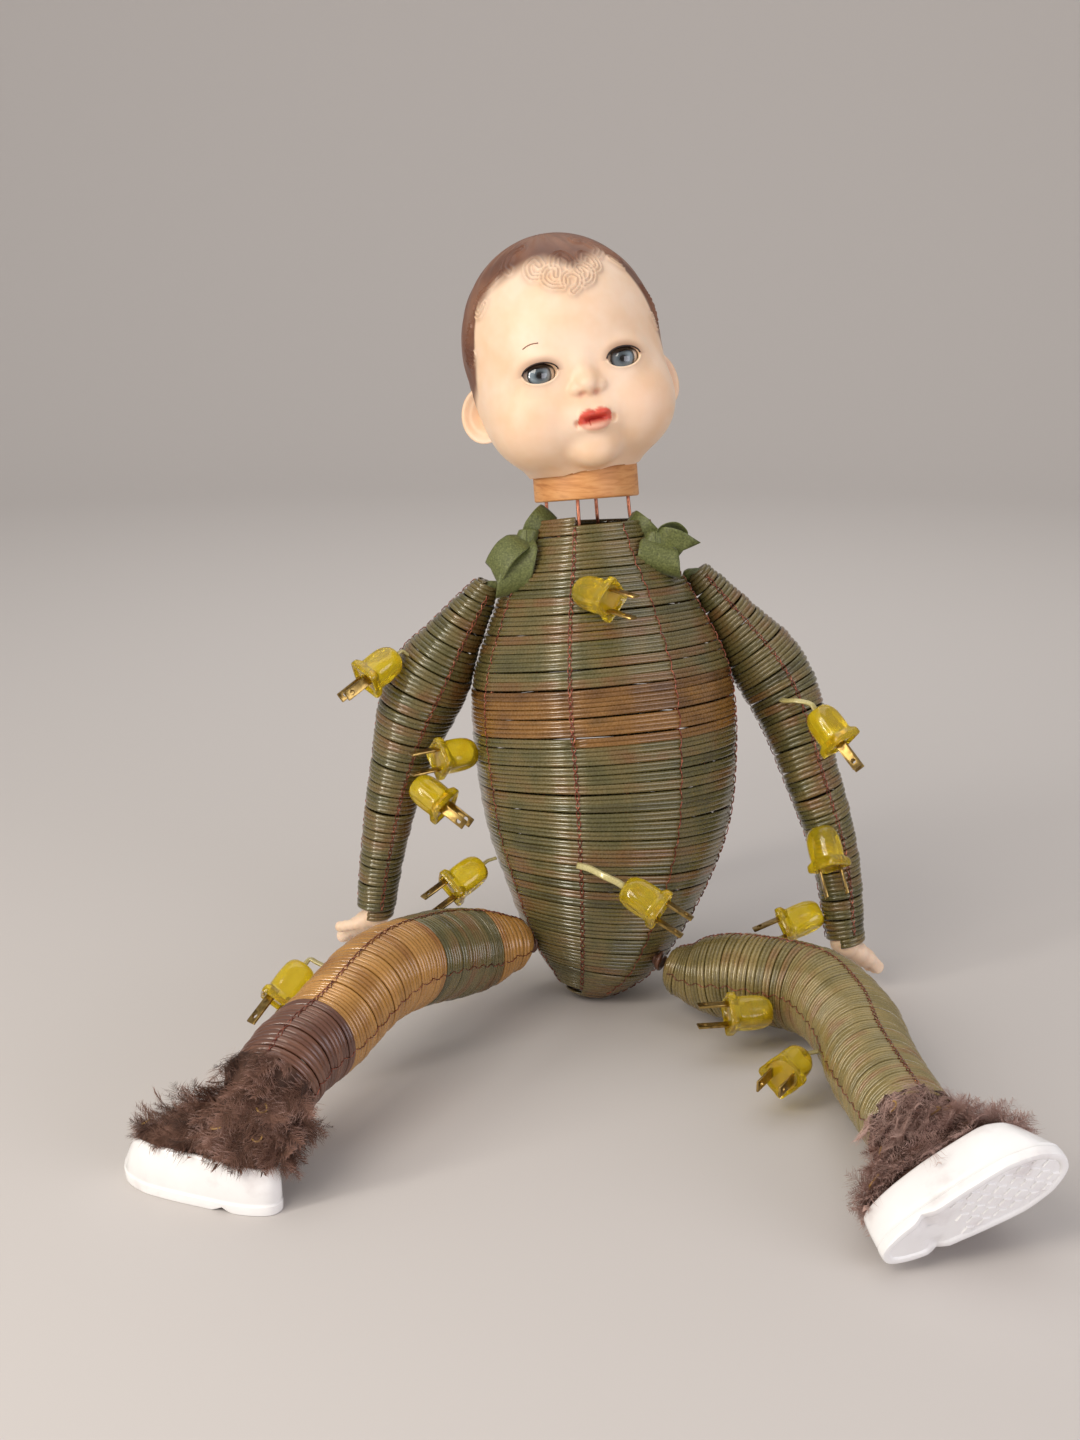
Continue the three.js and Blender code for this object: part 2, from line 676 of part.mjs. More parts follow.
// Each point of a leg: its place seen from above, in shares of the reach from the pivot, and its height
const legRoutes = {
  right: [[-0.0907, -0.0692, 48], [-0.193, -0.2535, 60], [-0.2831, -0.45, 67], [-0.3732, -0.6548, 58],
    [-0.4305, -0.794, 56], [-0.4674, -0.8841, 48]],
  left: [[0.1486, -0.0834, 33], [0.3081, -0.1985, 34], [0.3745, -0.3845, 31], [0.3834, -0.6237, 30],
    [0.4011, -0.916, 34]],
};

function legForm(side) {
  const { end, pivot } = hips[side];
  const reach = legReach[side];
  const points = legRoutes[side].map(([x, y, z]) => point(pivot.x + x * reach, pivot.y + y * reach, z));
  const line = new THREE.CatmullRomCurve3([end, pivot, ...points]);
  const hipMouth = Math.acos(hipBall / hipRound) / degree;
  const ball = (angle) =>
    [hipBall - hipRound * Math.cos(angle * degree), hipRound * Math.sin(angle * degree)];
  return new Form(line, point(0, 0, 1), [
    ball(hipMouth),
    ball(40),
    ball(62),
    ball(84),
    [thighAt, thighRadius],
    [line.getLength() / 2, thighRadius],
    [line.getLength(), ankleRadius],
  ]);
}

const legForms = { right: legForm("right"), left: legForm("left") };
const legBands = {
  right: [["thigh_gold", 2.5, goldCord], ["thigh_olive", 5, oliveCord], ["shin_gold", 6.5, goldCord],
    ["shin_brown", 3, brownCord]],
  left: [["thigh_olive", 8, oliveCord], ["shin_olive", 9, oliveCord]],
};
sides.forEach(([side]) => {
  let from = 0;
  legBands[side].forEach(([band, turns, cord]) => {
    add("leg_" + side + "_" + band, limbWinding(legForms[side], legTurns, from, from + turns), cord);
    from += turns;
  });
  const { seat, along } = hips[side];
  const cup = (radius) => tieLength + hipBall - Math.sqrt((hipRound + runningGap) ** 2 - radius ** 2);
  const tie = revolved([[0, seatGap - tieSink], [tieRadius, tieRadius], [tieRadius, cup(tieRadius)],
    [tieRadius / 2, cup(tieRadius / 2)], [0, cup(0)]], 12, placement(seat, along, point(0, 0, 1)));
  add("hip_tie_" + side, tie, oliveCord);
});

// Shoes: a foot-shaped tray, flat below, with the feathered upper standing in it
function footOutline(inset) {
  const corners = [];
  const round = (x, y, radius, from) => {
    for (let i = 0; i <= 4; i += 1) {
      const angle = (from + 22.5 * i) * degree;
      const reach = radius - inset;
      corners.push(new THREE.Vector2(x + reach * Math.cos(angle), y + reach * Math.sin(angle)));
    }
  };
  const toeX = shoeLength / 2 - toeCorner;
  const toeY = shoeWidth / 2 - toeCorner;
  const heelX = heelCorner - shoeLength / 2;
  const heelY = heelWidth / 2 - heelCorner;
  round(toeX, toeY, toeCorner, 0);
  round(heelX, heelY, heelCorner, 90);
  round(heelX, -heelY, heelCorner, 180);
  round(toeX, -toeY, toeCorner, 270);
  return corners;
}

// Middle of each sole from the ankle, and the ways its toe and its opening face
const shoePlaces = {
  right: { fromAnkle: point(-33.5, -4.5, -48), toe: point(-0.86, 0.51, 0), up: point(0, 0, 1) },
  left: { fromAnkle: point(17, -91, -2), toe: point(0.88, 0.12, 0.455), up: point(-0.25, 0.9, 0.36) },
};

function shoe(place) {
  const prism = (inset, depth) =>
    new THREE.ExtrudeGeometry(new THREE.Shape(footOutline(inset)), { depth, bevelEnabled: false });
  const pocket = prism(shoeWall, 2 * solePocket).translate(0, 0, shoeHeight - solePocket);
  return geometryOf(solidOf(prism(0, shoeHeight)).subtract(solidOf(pocket))).applyMatrix4(place);
}

function upper(place, ankle) {
  const pegRadius = (ankleRadius - cordDepth) * Math.cos(Math.PI / limbSteps) - 2 * seatGap;
  const inverse = place.clone().invert();
  const top = ankle.centre.clone().addScaledVector(ankle.along, seatGap).applyMatrix4(inverse);
  const lean = ankle.along.clone().negate().transformDirection(inverse);
  const turned = new THREE.Quaternion().setFromUnitVectors(point(0, 0, 1), lean);
  const base = footOutline(shoeWall + seatGap).map(({ x, y }) => point(x, y, 0));
  const around = base.map(({ x, y }) => Math.atan2(y, x));
  const ring = (rise, spread) => base.map((corner) => corner.clone().multiplyScalar(spread).setZ(rise));
  const rings = [ring(shoeHeight - solePocket + seatGap, 1), ring(shoeHeight + seatGap, 1)];
  const foot = point(0, 0, shoeHeight + upperRise);
  const bend = point(top.x, top.y, (foot.z + top.z) / 2);
  const spine = new THREE.QuadraticBezierCurve3(foot, bend, top);
  for (let k = 1; k <= upperRings; k += 1) {
    const share = k / upperRings;
    const tilt = new THREE.Quaternion().slerp(turned, share * share);
    const centre = spine.getPoint(share);
    rings.push(base.map((corner, i) => {
      const round = point(Math.cos(around[i]), Math.sin(around[i]), 0).multiplyScalar(ankleRadius);
      const shape = corner.clone().lerp(round, Math.min(1, 1.5 * share));
      return shape.applyQuaternion(tilt).add(centre);
    }));
  }
  const peg = new THREE.CylinderGeometry(pegRadius, pegRadius, 2 * ankleSleeve, 16)
    .applyMatrix4(placement(ankle.centre, ankle.along, point(0, 0, 1)));
  return geometryOf(solidOf(loft(rings).applyMatrix4(place)).add(solidOf(peg)));
}

sides.forEach(([side]) => {
  const ankle = legForms[side].frame(legForms[side].line.getLength());
  const { fromAnkle, toe, up } = shoePlaces[side];
  const across = up.clone().cross(toe).normalize();
  const ahead = across.clone().cross(up).normalize();
  const place = new THREE.Matrix4().makeBasis(ahead, across, up.clone().normalize())
    .setPosition(ankle.centre.clone().add(fromAnkle));
  add("shoe_" + side, shoe(place), shoeWhite);
  add("feather_upper_" + side, upper(place, ankle), feather);
});

// Wall plugs: a bell shell, a two-blade insert in its mouth and, where the cord shows, a tail
const mouthRadius = plugRadius - 1;
const plugOutline = [
  [0, 0], [plugBack, 0], [plugBack + 2.5, 1.5], [plugRadius - 1, 6], [plugRadius, 0.7 * plugLength],
  [plugRim, plugLength - rimHeight], [plugRim, plugLength], [mouthRadius, plugLength],
  [mouthRadius, plugLength - plugRecess], [0, plugLength - plugRecess],
];

function insert() {
  const seat = plugLength - plugRecess + seatGap;
  const plateRadius = mouthRadius - seatGap;
  const face = plugLength - 1;
  const plate = revolved([[0, seat], [plateRadius, seat], [plateRadius, face], [0, face]], 10);
  let body = solidOf(plate);
  [-1, 1].forEach((way) => {
    const blade = new THREE.BoxGeometry(bladeThickness, bladeLength + 2, bladeWidth)
      .translate(way * bladeSpacing / 2, plugLength + bladeLength / 2 - 1, 0);
    const hole = new THREE.CylinderGeometry(bladeHole, bladeHole, 2 * bladeSpacing, 6).rotateZ(Math.PI / 2)
      .translate(0, plugLength + 0.75 * bladeLength, 0);
    body = body.add(solidOf(blade).subtract(solidOf(hole)));
  });
  return geometryOf(body);
}

// How far the plug's narrow end stands off a surface so that its bell clears it
function standOff(out, aim) {
  const rise = aim.dot(out);
  const lie = Math.sqrt(1 - rise * rise);
  return seatGap + Math.max(...plugOutline.map(([r, l]) => r * lie - l * rise));
}

// The winding under a height of the basket
function basketHost(height) {
  const turns = heightShare(bodyForm, height) / bodyPitch - 0.5;
  if (turns < bandStart) return "body_winding_lower";
  return turns < bandEnd ? "body_winding_band" : "body_winding_upper";
}

const sidePlug = sidePlugShare * armHeight;
const flankPlug = flankPlugShare * armHeight;
const along = (form, share) => share * form.line.getLength();
const { right: armRight, left: armLeft } = armForms;
const { right: legRight, left: legLeft } = legForms;
const plugs = [
  { name: "chest", host: "body_winding_upper", form: bodyForm, at: 258, angle: -9,
    aim: [0.72, -0.65, -0.12], side: [0, 0, 1] },
  { name: "side", host: basketHost(sidePlug), form: bodyForm, at: sidePlug, angle: -78,
    aim: [-0.85, -0.5, -0.05], side: [0, 0, 1] },
  { name: "flank", host: basketHost(flankPlug), form: bodyForm, at: flankPlug, angle: -80,
    aim: [-0.75, -0.45, -0.45], side: [0, 0, 1], stub: 4 },
  { name: "belly", host: "body_winding_lower", form: bodyForm, at: 98.4, angle: -15,
    aim: [0.8, -0.3, -0.45], side: [0, 0, 1],
    route: [[-5.9, -57.4, 105.6], [1, -65, 106], [9, -72, 104], [17, -75, 101]] },
  { name: "arm_right_upper", host: "arm_winding_right", form: armRight, at: along(armRight, 0.2491),
    angle: 60, aim: [-0.72, -0.5, -0.5], side: [0, 1, 0], stub: 2 },
  { name: "arm_right_elbow", host: "arm_winding_right", form: armRight, at: along(armRight, 0.5583),
    angle: -33, aim: [0.75, -0.35, -0.5], side: [0, 1, 0] },
  { name: "arm_left_upper", host: "arm_winding_left", form: armLeft, at: along(armLeft, 0.3508), angle: 6,
    aim: [0.55, -0.45, -0.7], side: [0, 1, 0],
    route: [[118.6, 2.8, 191.4], [120, -8, 193], [126, -14, 194.5], [134, -17, 193]] },
  { name: "arm_left_lower", host: "arm_winding_left", form: armLeft, at: along(armLeft, 0.6748), angle: 18,
    aim: [0.2, -0.5, -0.84], side: [1, 0, 0] },
  { name: "arm_left_wrist", host: "arm_winding_left", form: armLeft, at: along(armLeft, 0.9077), angle: 88,
    aim: [-0.85, -0.1, -0.35], side: [0, 0, 1] },
  { name: "knee", host: "leg_left_thigh_olive", form: legLeft, at: along(legLeft, 0.3245), angle: 102,
    aim: [-0.97, -0.15, 0], side: [0, 0, 1] },
  { name: "shin", host: "leg_left_shin_olive", form: legLeft, at: along(legLeft, 0.6356), angle: 100,
    aim: [-0.5, -0.86, -0.04], side: [1, 0, 0], stub: 4 },
  { name: "leg_right", host: "leg_right_shin_gold", form: legRight, at: along(legRight, 0.6), angle: 72,
    aim: [-0.55, -0.55, -0.63], side: [0, 0, 1], stub: 2 },
];

plugs.forEach(({ name, host, form, at, angle, aim, side, stub, route }) => {
  const u = heightShare(form, at);
  const foot = form.surface(u, angle * degree);
  const out = form.normal(u, angle * degree);
  const way = pointOf(aim).normalize();
  const start = foot.clone().addScaledVector(out, seatGap);
  const pieces = [];
  let back = foot.clone().addScaledVector(out, standOff(out, way));
  if (stub) {
    const bend = back.clone().addScaledVector(out, stub);
    back = bend.clone().addScaledVector(way, tailBend);
    pieces.push(["tail", wire([start, start.clone().lerp(bend, 0.6), bend, back], tailRadius, 6), brownCord]);
    back = back.clone().addScaledVector(way, seatGap);
  }
  if (route) {
    const points = new THREE.CatmullRomCurve3(route.map(pointOf)).getPoints(7);
    back = points.at(-1).clone().addScaledVector(way, tailBend);
    pieces.push(["tail", wire([...points, back], tailRadius, 8), paleCord]);
    back = back.clone().addScaledVector(way, seatGap);
  }
  const place = placement(back, way, pointOf(side));
  pieces.push(["shell", revolved(plugOutline, 10, place), amber]);
  pieces.push(["blades", insert().applyMatrix4(place), brass]);
  if (!route) settle(pieces.map(([, shape]) => shape), host, out.clone().negate());
  pieces.forEach(([part, shape, material]) => add("plug_" + name + "_" + part, shape, material));
});

console.log("least gap between rows of a winding: " + leastGap.toFixed(2) + " mm");

export default doll;
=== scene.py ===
import math

import bpy
import numpy as np
from mathutils import Matrix, Quaternion, Vector


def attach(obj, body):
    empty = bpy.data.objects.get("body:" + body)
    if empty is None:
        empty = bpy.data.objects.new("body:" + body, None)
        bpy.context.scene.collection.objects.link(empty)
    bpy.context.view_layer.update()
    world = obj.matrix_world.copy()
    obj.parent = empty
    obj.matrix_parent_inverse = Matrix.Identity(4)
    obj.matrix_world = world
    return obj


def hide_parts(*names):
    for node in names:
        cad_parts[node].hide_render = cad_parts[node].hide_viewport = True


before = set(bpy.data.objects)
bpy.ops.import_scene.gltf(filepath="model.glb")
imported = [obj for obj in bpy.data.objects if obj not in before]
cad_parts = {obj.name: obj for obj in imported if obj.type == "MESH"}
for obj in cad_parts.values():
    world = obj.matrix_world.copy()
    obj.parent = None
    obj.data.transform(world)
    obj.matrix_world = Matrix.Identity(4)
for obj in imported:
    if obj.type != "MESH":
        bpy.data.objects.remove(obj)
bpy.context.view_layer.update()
mm = 0.001
fullTurn = 2 * math.pi
print("frame loaded:", len(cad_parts), "nodes")


# A new object from one of the add operators, chosen alone
def newPiece(operator, **settings):
    bpy.ops.object.select_all(action="DESELECT")
    operator(**settings)
    return bpy.context.object


# Camera at the photograph's angle
view = {"place": (-0.028, -1.106, 0.455), "pitch": 76, "lens": 46.9}
camera = newPiece(bpy.ops.object.camera_add, location=view["place"],
                  rotation=(math.radians(view["pitch"]), 0, 0))
camera.data.lens = view["lens"]
camera.data.clip_start = 0.01
bpy.context.scene.camera = camera


# Small helpers for meshes
def unit(vector):
    vector = np.asarray(vector, float)
    return vector / np.linalg.norm(vector, axis=-1, keepdims=True)


def meshPiece(name, points, faces, smooth=True):
    mesh = bpy.data.meshes.new(name)
    mesh.from_pydata((np.asarray(points) * mm).tolist(), [], faces)
    mesh.update()
    piece = bpy.data.objects.new(name, mesh)
    bpy.context.collection.objects.link(piece)
    chooseOnly(piece)
    if smooth:
        bpy.ops.object.shade_smooth()
    return piece


def chooseOnly(*pieces):
    if bpy.context.object and bpy.context.object.mode != "OBJECT":
        bpy.ops.object.mode_set(mode="OBJECT")
    bpy.ops.object.select_all(action="DESELECT")
    for piece in pieces:
        piece.select_set(True)
    bpy.context.view_layer.objects.active = pieces[0]


def faceOut(piece):
    chooseOnly(piece)
    bpy.ops.object.mode_set(mode="EDIT")
    bpy.ops.mesh.select_all(action="SELECT")
    bpy.ops.mesh.remove_doubles(threshold=1e-6)
    bpy.ops.mesh.normals_make_consistent(inside=False)
    bpy.ops.object.mode_set(mode="OBJECT")


def placeMesh(piece, matrix):
    piece.matrix_world = matrix
    chooseOnly(piece)
    bpy.ops.object.transform_apply(location=True, rotation=True, scale=True)


def copyPiece(piece, name, matrix):
    copied = piece.copy()
    copied.data = piece.data.copy()
    copied.name = name
    copied.data.name = name
    bpy.context.collection.objects.link(copied)
    placeMesh(copied, matrix)
    return copied


def joinPieces(name, pieces):
    chooseOnly(*pieces)
    if len(pieces) > 1:
        bpy.ops.object.join()
    joined = bpy.context.object
    joined.name = name
    joined.data.name = name
    return joined


def applyModifier(piece, kind, **settings):
    chooseOnly(piece)
    modifier = piece.modifiers.new(kind.title(), kind)
    for key, value in settings.items():
        setattr(modifier, key, value)
    bpy.ops.object.modifier_apply(modifier=modifier.name)


def finishPiece(piece, material, body, *nodes):
    piece.data.materials.clear()
    piece.data.materials.append(material)
    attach(piece, body)
    if nodes:
        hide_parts(*nodes)
    return piece


# Rows of rings joined to a closed skin; the UV map runs along the rows and round each ring
def loftRings(name, rings, runs=None, caps=True):
    count, sides, _ = rings.shape
    row, side = np.meshgrid(np.arange(count - 1), np.arange(sides), indexing="ij")
    nextSide = (side + 1) % sides
    quads = np.stack([row * sides + side, row * sides + nextSide,
                      (row + 1) * sides + nextSide, (row + 1) * sides + side], axis=-1).reshape(-1, 4)
    faces = quads.tolist()
    if caps:
        faces.append(list(range(sides))[::-1])
    if caps is True:
        faces.append(list(range((count - 1) * sides, count * sides)))
    piece = meshPiece(name, rings.reshape(-1, 3), faces)
    if runs is not None:
        along = np.stack([runs[row], runs[row], runs[row + 1], runs[row + 1]], axis=-1)
        girth = np.stack([side, side + 1, side + 1, side], axis=-1) / sides
        wrap = np.zeros((len(piece.data.loops), 2))
        wrap[:along.size, 0] = along.ravel()
        wrap[:along.size, 1] = girth.ravel()
        layer = piece.data.uv_layers.new(name="CordRun")
        layer.data.foreach_set("uv", wrap.ravel())
    return piece


def tubeRings(points, radius, sides):
    points = np.asarray(points, float)
    along = unit(np.gradient(points, axis=0))
    up = np.array([0.13, 0.31, 0.94])  # a way that no line here runs along
    corner = fullTurn * np.arange(sides) / sides
    rings = []
    for centre, way in zip(points, along):
        up = unit(up - way * np.dot(up, way))
        side = np.cross(way, up)
        rings.append(centre + radius * (np.outer(np.cos(corner), up) + np.outer(np.sin(corner), side)))
    return np.array(rings)


# Cubic from one point to the next, with its leaving and arriving speeds
def cubicSpan(start, end, leave, arrive, t):
    return (start + leave * t + (3 * (end - start) - 2 * leave - arrive) * t ** 2
            + (2 * (start - end) + leave + arrive) * t ** 3)


# A smooth line through points, with even speed
def throughPoints(points, perSpan=60):
    spots = np.array(points, float)
    spots = np.vstack([2 * spots[0] - spots[1], spots, 2 * spots[-1] - spots[-2]])
    rows = []
    for i in range(1, len(spots) - 2):
        a, b, c, d = spots[i - 1:i + 3]
        before, here, after = (np.linalg.norm(v) ** 0.5 for v in (b - a, c - b, d - c))
        leave = here * ((b - a) / before - (c - a) / (before + here) + (c - b) / here)
        arrive = here * ((c - b) / here - (d - b) / (here + after) + (d - c) / after)
        t = np.linspace(0, 1, perSpan, endpoint=i == len(spots) - 3)[:, None]
        rows.append(cubicSpan(b, c, leave, arrive, t))
    return np.vstack(rows)


def outlineThrough(stations, perSpan=60):
    spots = np.array(stations, float)
    spots = np.vstack([spots[0], spots, spots[-1]])
    rows = []
    for i in range(1, len(spots) - 2):
        a, b, c, d = spots[i - 1:i + 3]
        leave, arrive = (c - a) / 2, (d - b) / 2
        t = np.linspace(0, 1, perSpan, endpoint=i == len(spots) - 3)[:, None]
        rows.append(cubicSpan(b, c, leave, arrive, t))
    return np.vstack(rows)


# A round form along a bent line, as in the CAD; corners flattens it between the spokes
class Form:
    def __init__(self, points, front, stations, corners=0.0, firstCorner=0.0):
        self.line = throughPoints(points)
        self.at = np.concatenate([[0], np.cumsum(np.linalg.norm(np.diff(self.line, axis=0), axis=1))])
        self.along = unit(np.gradient(self.line, self.at, axis=0))
        self.front = np.array(front, float)
        if callable(stations):
            stations = stations(self.at[-1])
        self.edge = outlineThrough(stations)
        self.run = np.concatenate([[0], np.cumsum(np.linalg.norm(np.diff(self.edge, axis=0), axis=1))])
        self.slope = unit(np.gradient(self.edge, self.run, axis=0))
        self.span = self.run[-1]
        self.corners = corners
        self.firstCorner = firstCorner

    def frameAt(self, s):
        centre = np.stack([np.interp(s, self.at, self.line[:, k]) for k in range(3)], axis=-1)
        along = unit(np.stack([np.interp(s, self.at, self.along[:, k]) for k in range(3)], axis=-1))
        out = unit(self.front - along * (along @ self.front)[..., None])
        return centre, along, out, np.cross(along, out)

    def surface(self, u, angle, depth=0.0):
        u, angle = np.broadcast_arrays(np.asarray(u, float), np.asarray(angle, float))
        s, r, ds, dr = (np.interp(u, self.run, column) for column in
                        (self.edge[:, 0], self.edge[:, 1], self.slope[:, 0], self.slope[:, 1]))
        s, r = s + dr * depth, r - ds * depth
        eighth = fullTurn / 8
        within = np.mod(angle - self.firstCorner, eighth) - eighth / 2
        r = r * (1 + self.corners * (math.cos(eighth / 2) / np.cos(within) - 0.955))
        centre, along, out, across = self.frameAt(s)
        return centre + out * (r * np.cos(angle))[..., None] + across * (r * np.sin(angle))[..., None]

    def runAt(self, s):
        return float(np.interp(s, self.edge[:, 0], self.run))

    def outward(self, u, angle):
        return unit(self.surface(u, angle) - self.surface(u, angle, 1.0))


# Materials: colours as sRGB hex, one function adds a node
def hexColour(text):
    parts = [int(text[i:i + 2], 16) / 255 for i in (1, 3, 5)]
    return [c / 12.92 if c <= 0.04045 else ((c + 0.055) / 1.055) ** 2.4 for c in parts] + [1.0]


def addNode(material, kind, links=None, **settings):
    node = material.node_tree.nodes.new(kind)
    for key, value in settings.items():
        setattr(node, key, value)
    for socket, value in (links or {}).items():
        if isinstance(value, bpy.types.NodeSocket):
            material.node_tree.links.new(value, node.inputs[socket])
        else:
            node.inputs[socket].default_value = value
    return node


def setStops(ramp, stops):
    elements = ramp.color_ramp.elements
    while len(elements) < len(stops):
        elements.new(0.5)
    for element, (place, colour) in zip(elements, stops):
        element.position = place
        element.color = hexColour(colour) if isinstance(colour, str) else (colour, colour, colour, 1)
    return ramp


def newMaterial(name, colour=None, **sockets):
    material = bpy.data.materials.new(name)
    material.use_nodes = True
    shader = material.node_tree.nodes["Principled BSDF"]
    for socket, value in sockets.items():
        shader.inputs[socket.replace("_", " ")].default_value = value
    if colour:
        shader.inputs["Base Color"].default_value = hexColour(colour)
    return material, shader


def linkTo(material, output, shader, socket):
    material.node_tree.links.new(output, shader.inputs[socket])


# A material whose colour drifts in soft patches; its mottle can drive a bump too
def mottledMaterial(name, scale, detail, stops, **sockets):
    material, shader = newMaterial(name, **sockets)
    place = addNode(material, "ShaderNodeTexCoord")
    mottle = addNode(material, "ShaderNodeTexNoise", {"Vector": place.outputs["Object"], "Scale": scale,
                                                      "Detail": detail})
    tint = setStops(addNode(material, "ShaderNodeValToRGB", {0: mottle.outputs[0]}), stops)
    linkTo(material, tint.outputs[0], shader, "Base Color")
    return material, shader, mottle.outputs[0]


# Two-core lamp cord: glossy PVC over copper strands, so its tone drifts from row to row
def cordMaterial(name, tones, dark, gloss):
    material, shader = newMaterial(name, IOR=1.5, Coat_Weight=0.7, Coat_Roughness=0.12, Metallic=0.1)
    run = addNode(material, "ShaderNodeUVMap", uv_map="CordRun")
    parts = addNode(material, "ShaderNodeSeparateXYZ", {0: run.outputs[0]})
    rows = addNode(material, "ShaderNodeTexNoise", {"W": parts.outputs[0], "Scale": 0.9, "Detail": 3.0,
                                                    "Roughness": 0.65}, noise_dimensions="1D")
    place = addNode(material, "ShaderNodeTexCoord")
    patches = addNode(material, "ShaderNodeTexNoise", {"Vector": place.outputs["Object"], "Scale": 38.0,
                                                       "Detail": 4.0})  # patches of about 25 mm
    blend = addNode(material, "ShaderNodeMath", {0: rows.outputs[0], 1: patches.outputs[0]},
                    operation="ADD")
    tone = setStops(addNode(material, "ShaderNodeValToRGB",
                            {0: addNode(material, "ShaderNodeMath", {0: blend.outputs[0], 1: 0.5},
                                        operation="MULTIPLY").outputs[0]}), tones)
    # painted shade: dark in the joints between rows and in the groove between the two cores
    groove = setStops(addNode(material, "ShaderNodeValToRGB", {0: parts.outputs[1]}),
                      [(0.0, 0.3), (0.08, 0.95), (0.33, 1.0), (0.4, 0.4), (0.47, 1.0), (0.72, 0.95),
                       (0.8, 0.3)])
    shade = addNode(material, "ShaderNodeMix",
                    {0: groove.outputs[0], 6: hexColour(dark), 7: tone.outputs[0]},
                    data_type="RGBA")
    linkTo(material, shade.outputs[2], shader, "Base Color")
    streak = addNode(material, "ShaderNodeTexNoise", {"Vector": place.outputs["Object"], "Scale": 700.0,
                                                      "Detail": 2.0})  # scuffs of about 1.4 mm
    rough = addNode(material, "ShaderNodeMapRange", {0: streak.outputs[0], 1: 0.3, 2: 0.7, 3: gloss - 0.08,
                                                     4: gloss + 0.14})
    linkTo(material, rough.outputs[0], shader, "Roughness")
    bump = addNode(material, "ShaderNodeBump", {"Strength": 0.12, "Distance": 0.0004,
                                                "Height": streak.outputs[0]})
    linkTo(material, bump.outputs[0], shader, "Normal")
    return material


olivePvc = cordMaterial("olivePvcCord", [(0.33, "#4d4526"), (0.43, "#5f5a34"), (0.52, "#74663c"),
                                         (0.6, "#7a5a34"), (0.7, "#66603a")], "#120c05", 0.24)
goldPvc = cordMaterial("goldPvcCord", [(0.35, "#94622c"), (0.48, "#b0803f"), (0.58, "#c08d48"),
                                       (0.7, "#9a6530")], "#2c1608", 0.28)
# the gold cord painted darker, as painted shade on the band under the head
shadedGoldPvc = cordMaterial("shadedGoldPvcCord", [(0.35, "#5c3d1d"), (0.46, "#795428"), (0.56, "#926832"),
                                         (0.64, "#6e512a"), (0.72, "#825829")], "#180c04", 0.24)
brownPvc = cordMaterial("brownPvcCord", [(0.35, "#563224"), (0.5, "#6b4331"), (0.65, "#7c523c")], "#20100a",
                        0.42)
# the body's olive cord painted about a third lighter, as painted light on the lit left leg
litOlivePvc = cordMaterial("litOlivePvcCord", [(0.33, "#6f6338"), (0.45, "#857747"), (0.55, "#95834f"),
                                       (0.63, "#8a6a40"), (0.72, "#7d7144")], "#1a1207", 0.22)
palePvc = cordMaterial("paleClearCord", [(0.35, "#a99a58"), (0.5, "#c2b676"), (0.65, "#d6cd96")], "#5c4a1e",
                       0.25)

# Cords that stand free: the same points as in the CAD, flat two-core cord
freeCords = {
    "plug_belly": {"route": [(-5.9, -57.4, 105.6), (1, -65, 106), (9, -72, 104), (17, -75, 101)],
                   "aim": (0.8, -0.3, -0.45), "body": "torso"},
    "plug_arm_left_upper": {"route": [(118.6, 2.8, 191.4), (120, -8, 193), (126, -14, 194.5),
                                      (134, -17, 193)],
                            "aim": (0.55, -0.45, -0.7), "body": "arm_left"},
}
cordSize = {"width": 4.2, "thick": 2.5, "straightEnd": 4.0, "sides": 16}


def flatCordRings(line, out, size):
    around = fullTurn * np.arange(size["sides"]) / size["sides"]
    waist = 1 - 0.28 * np.sin(around) ** 6  # shallow groove between the cores
    along = unit(np.gradient(line, axis=0))
    rings = []
    for centre, way in zip(line, along):
        out = unit(out - way * np.dot(out, way))
        side = np.cross(way, out)
        rings.append(centre + np.outer(size["width"] / 2 * np.cos(around), side)
                     + np.outer(size["thick"] / 2 * np.sin(around) * waist, out))
    return np.array(rings)


freeCordPieces = {}
for plugName, cord in freeCords.items():
    ending = np.array(cord["route"][-1]) + cordSize["straightEnd"] * unit(cord["aim"])
    line = throughPoints(cord["route"] + [tuple(ending)], 8)
    piece = loftRings(plugName + "_cord", flatCordRings(line, np.array((0.0, -1.0, 0.3)), cordSize),
                      np.linspace(0, 1, len(line)))
    faceOut(piece)
    finishPiece(piece, palePvc, cord["body"], plugName + "_tail")
    length = float(np.linalg.norm(np.diff(line, axis=0), axis=1).sum()) * mm
    freeCordPieces[plugName] = (piece, line, length)
    print("cord", plugName, round(length * 1000, 1), "mm")

# Body basket: axis, outline and rows
basket = {"lean": 7.5, "height": 303, "bow": 13, "rows": 56, "steps": 64, "corners": 0.36,
          "firstSpoke": -13.5, "bandFrom": 170, "bandTo": 196, "ridge": 0.247, "loose": 0.5}
outline = [(4, 16), (34, 43.5), (100, 72), (150, 80.5), (203, 80), (250, 62), (278, 46), (303, 35)]
leanAlong = np.array((0, math.sin(math.radians(basket["lean"])), math.cos(math.radians(basket["lean"]))))
axisPoints = [leanAlong * height + np.array((shift * basket["bow"], 0, 0)) for height, shift in
              ((0, 0), (34, 0.55), (125, 1), (250, 0.4), (303, 0.1))]
spokeStart = math.radians(basket["firstSpoke"])
bodyForm = Form(axisPoints, (0, -1, 0), outline, basket["corners"], spokeStart)

# Cross-section of the cord in ridge radii: two cores side by side, then flat underneath
cordProfile = np.array([(-2.0, 1.0), (-1.87, 0.48), (-1.5, 0.13), (-1.0, 0.0), (-0.5, 0.13), (-0.15, 0.46),
                        (0.0, 0.72), (0.15, 0.46), (0.5, 0.13), (1.0, 0.0), (1.5, 0.13), (1.87, 0.48),
                        (2.0, 1.0), (1.1, 2.0), (-1.1, 2.0)])


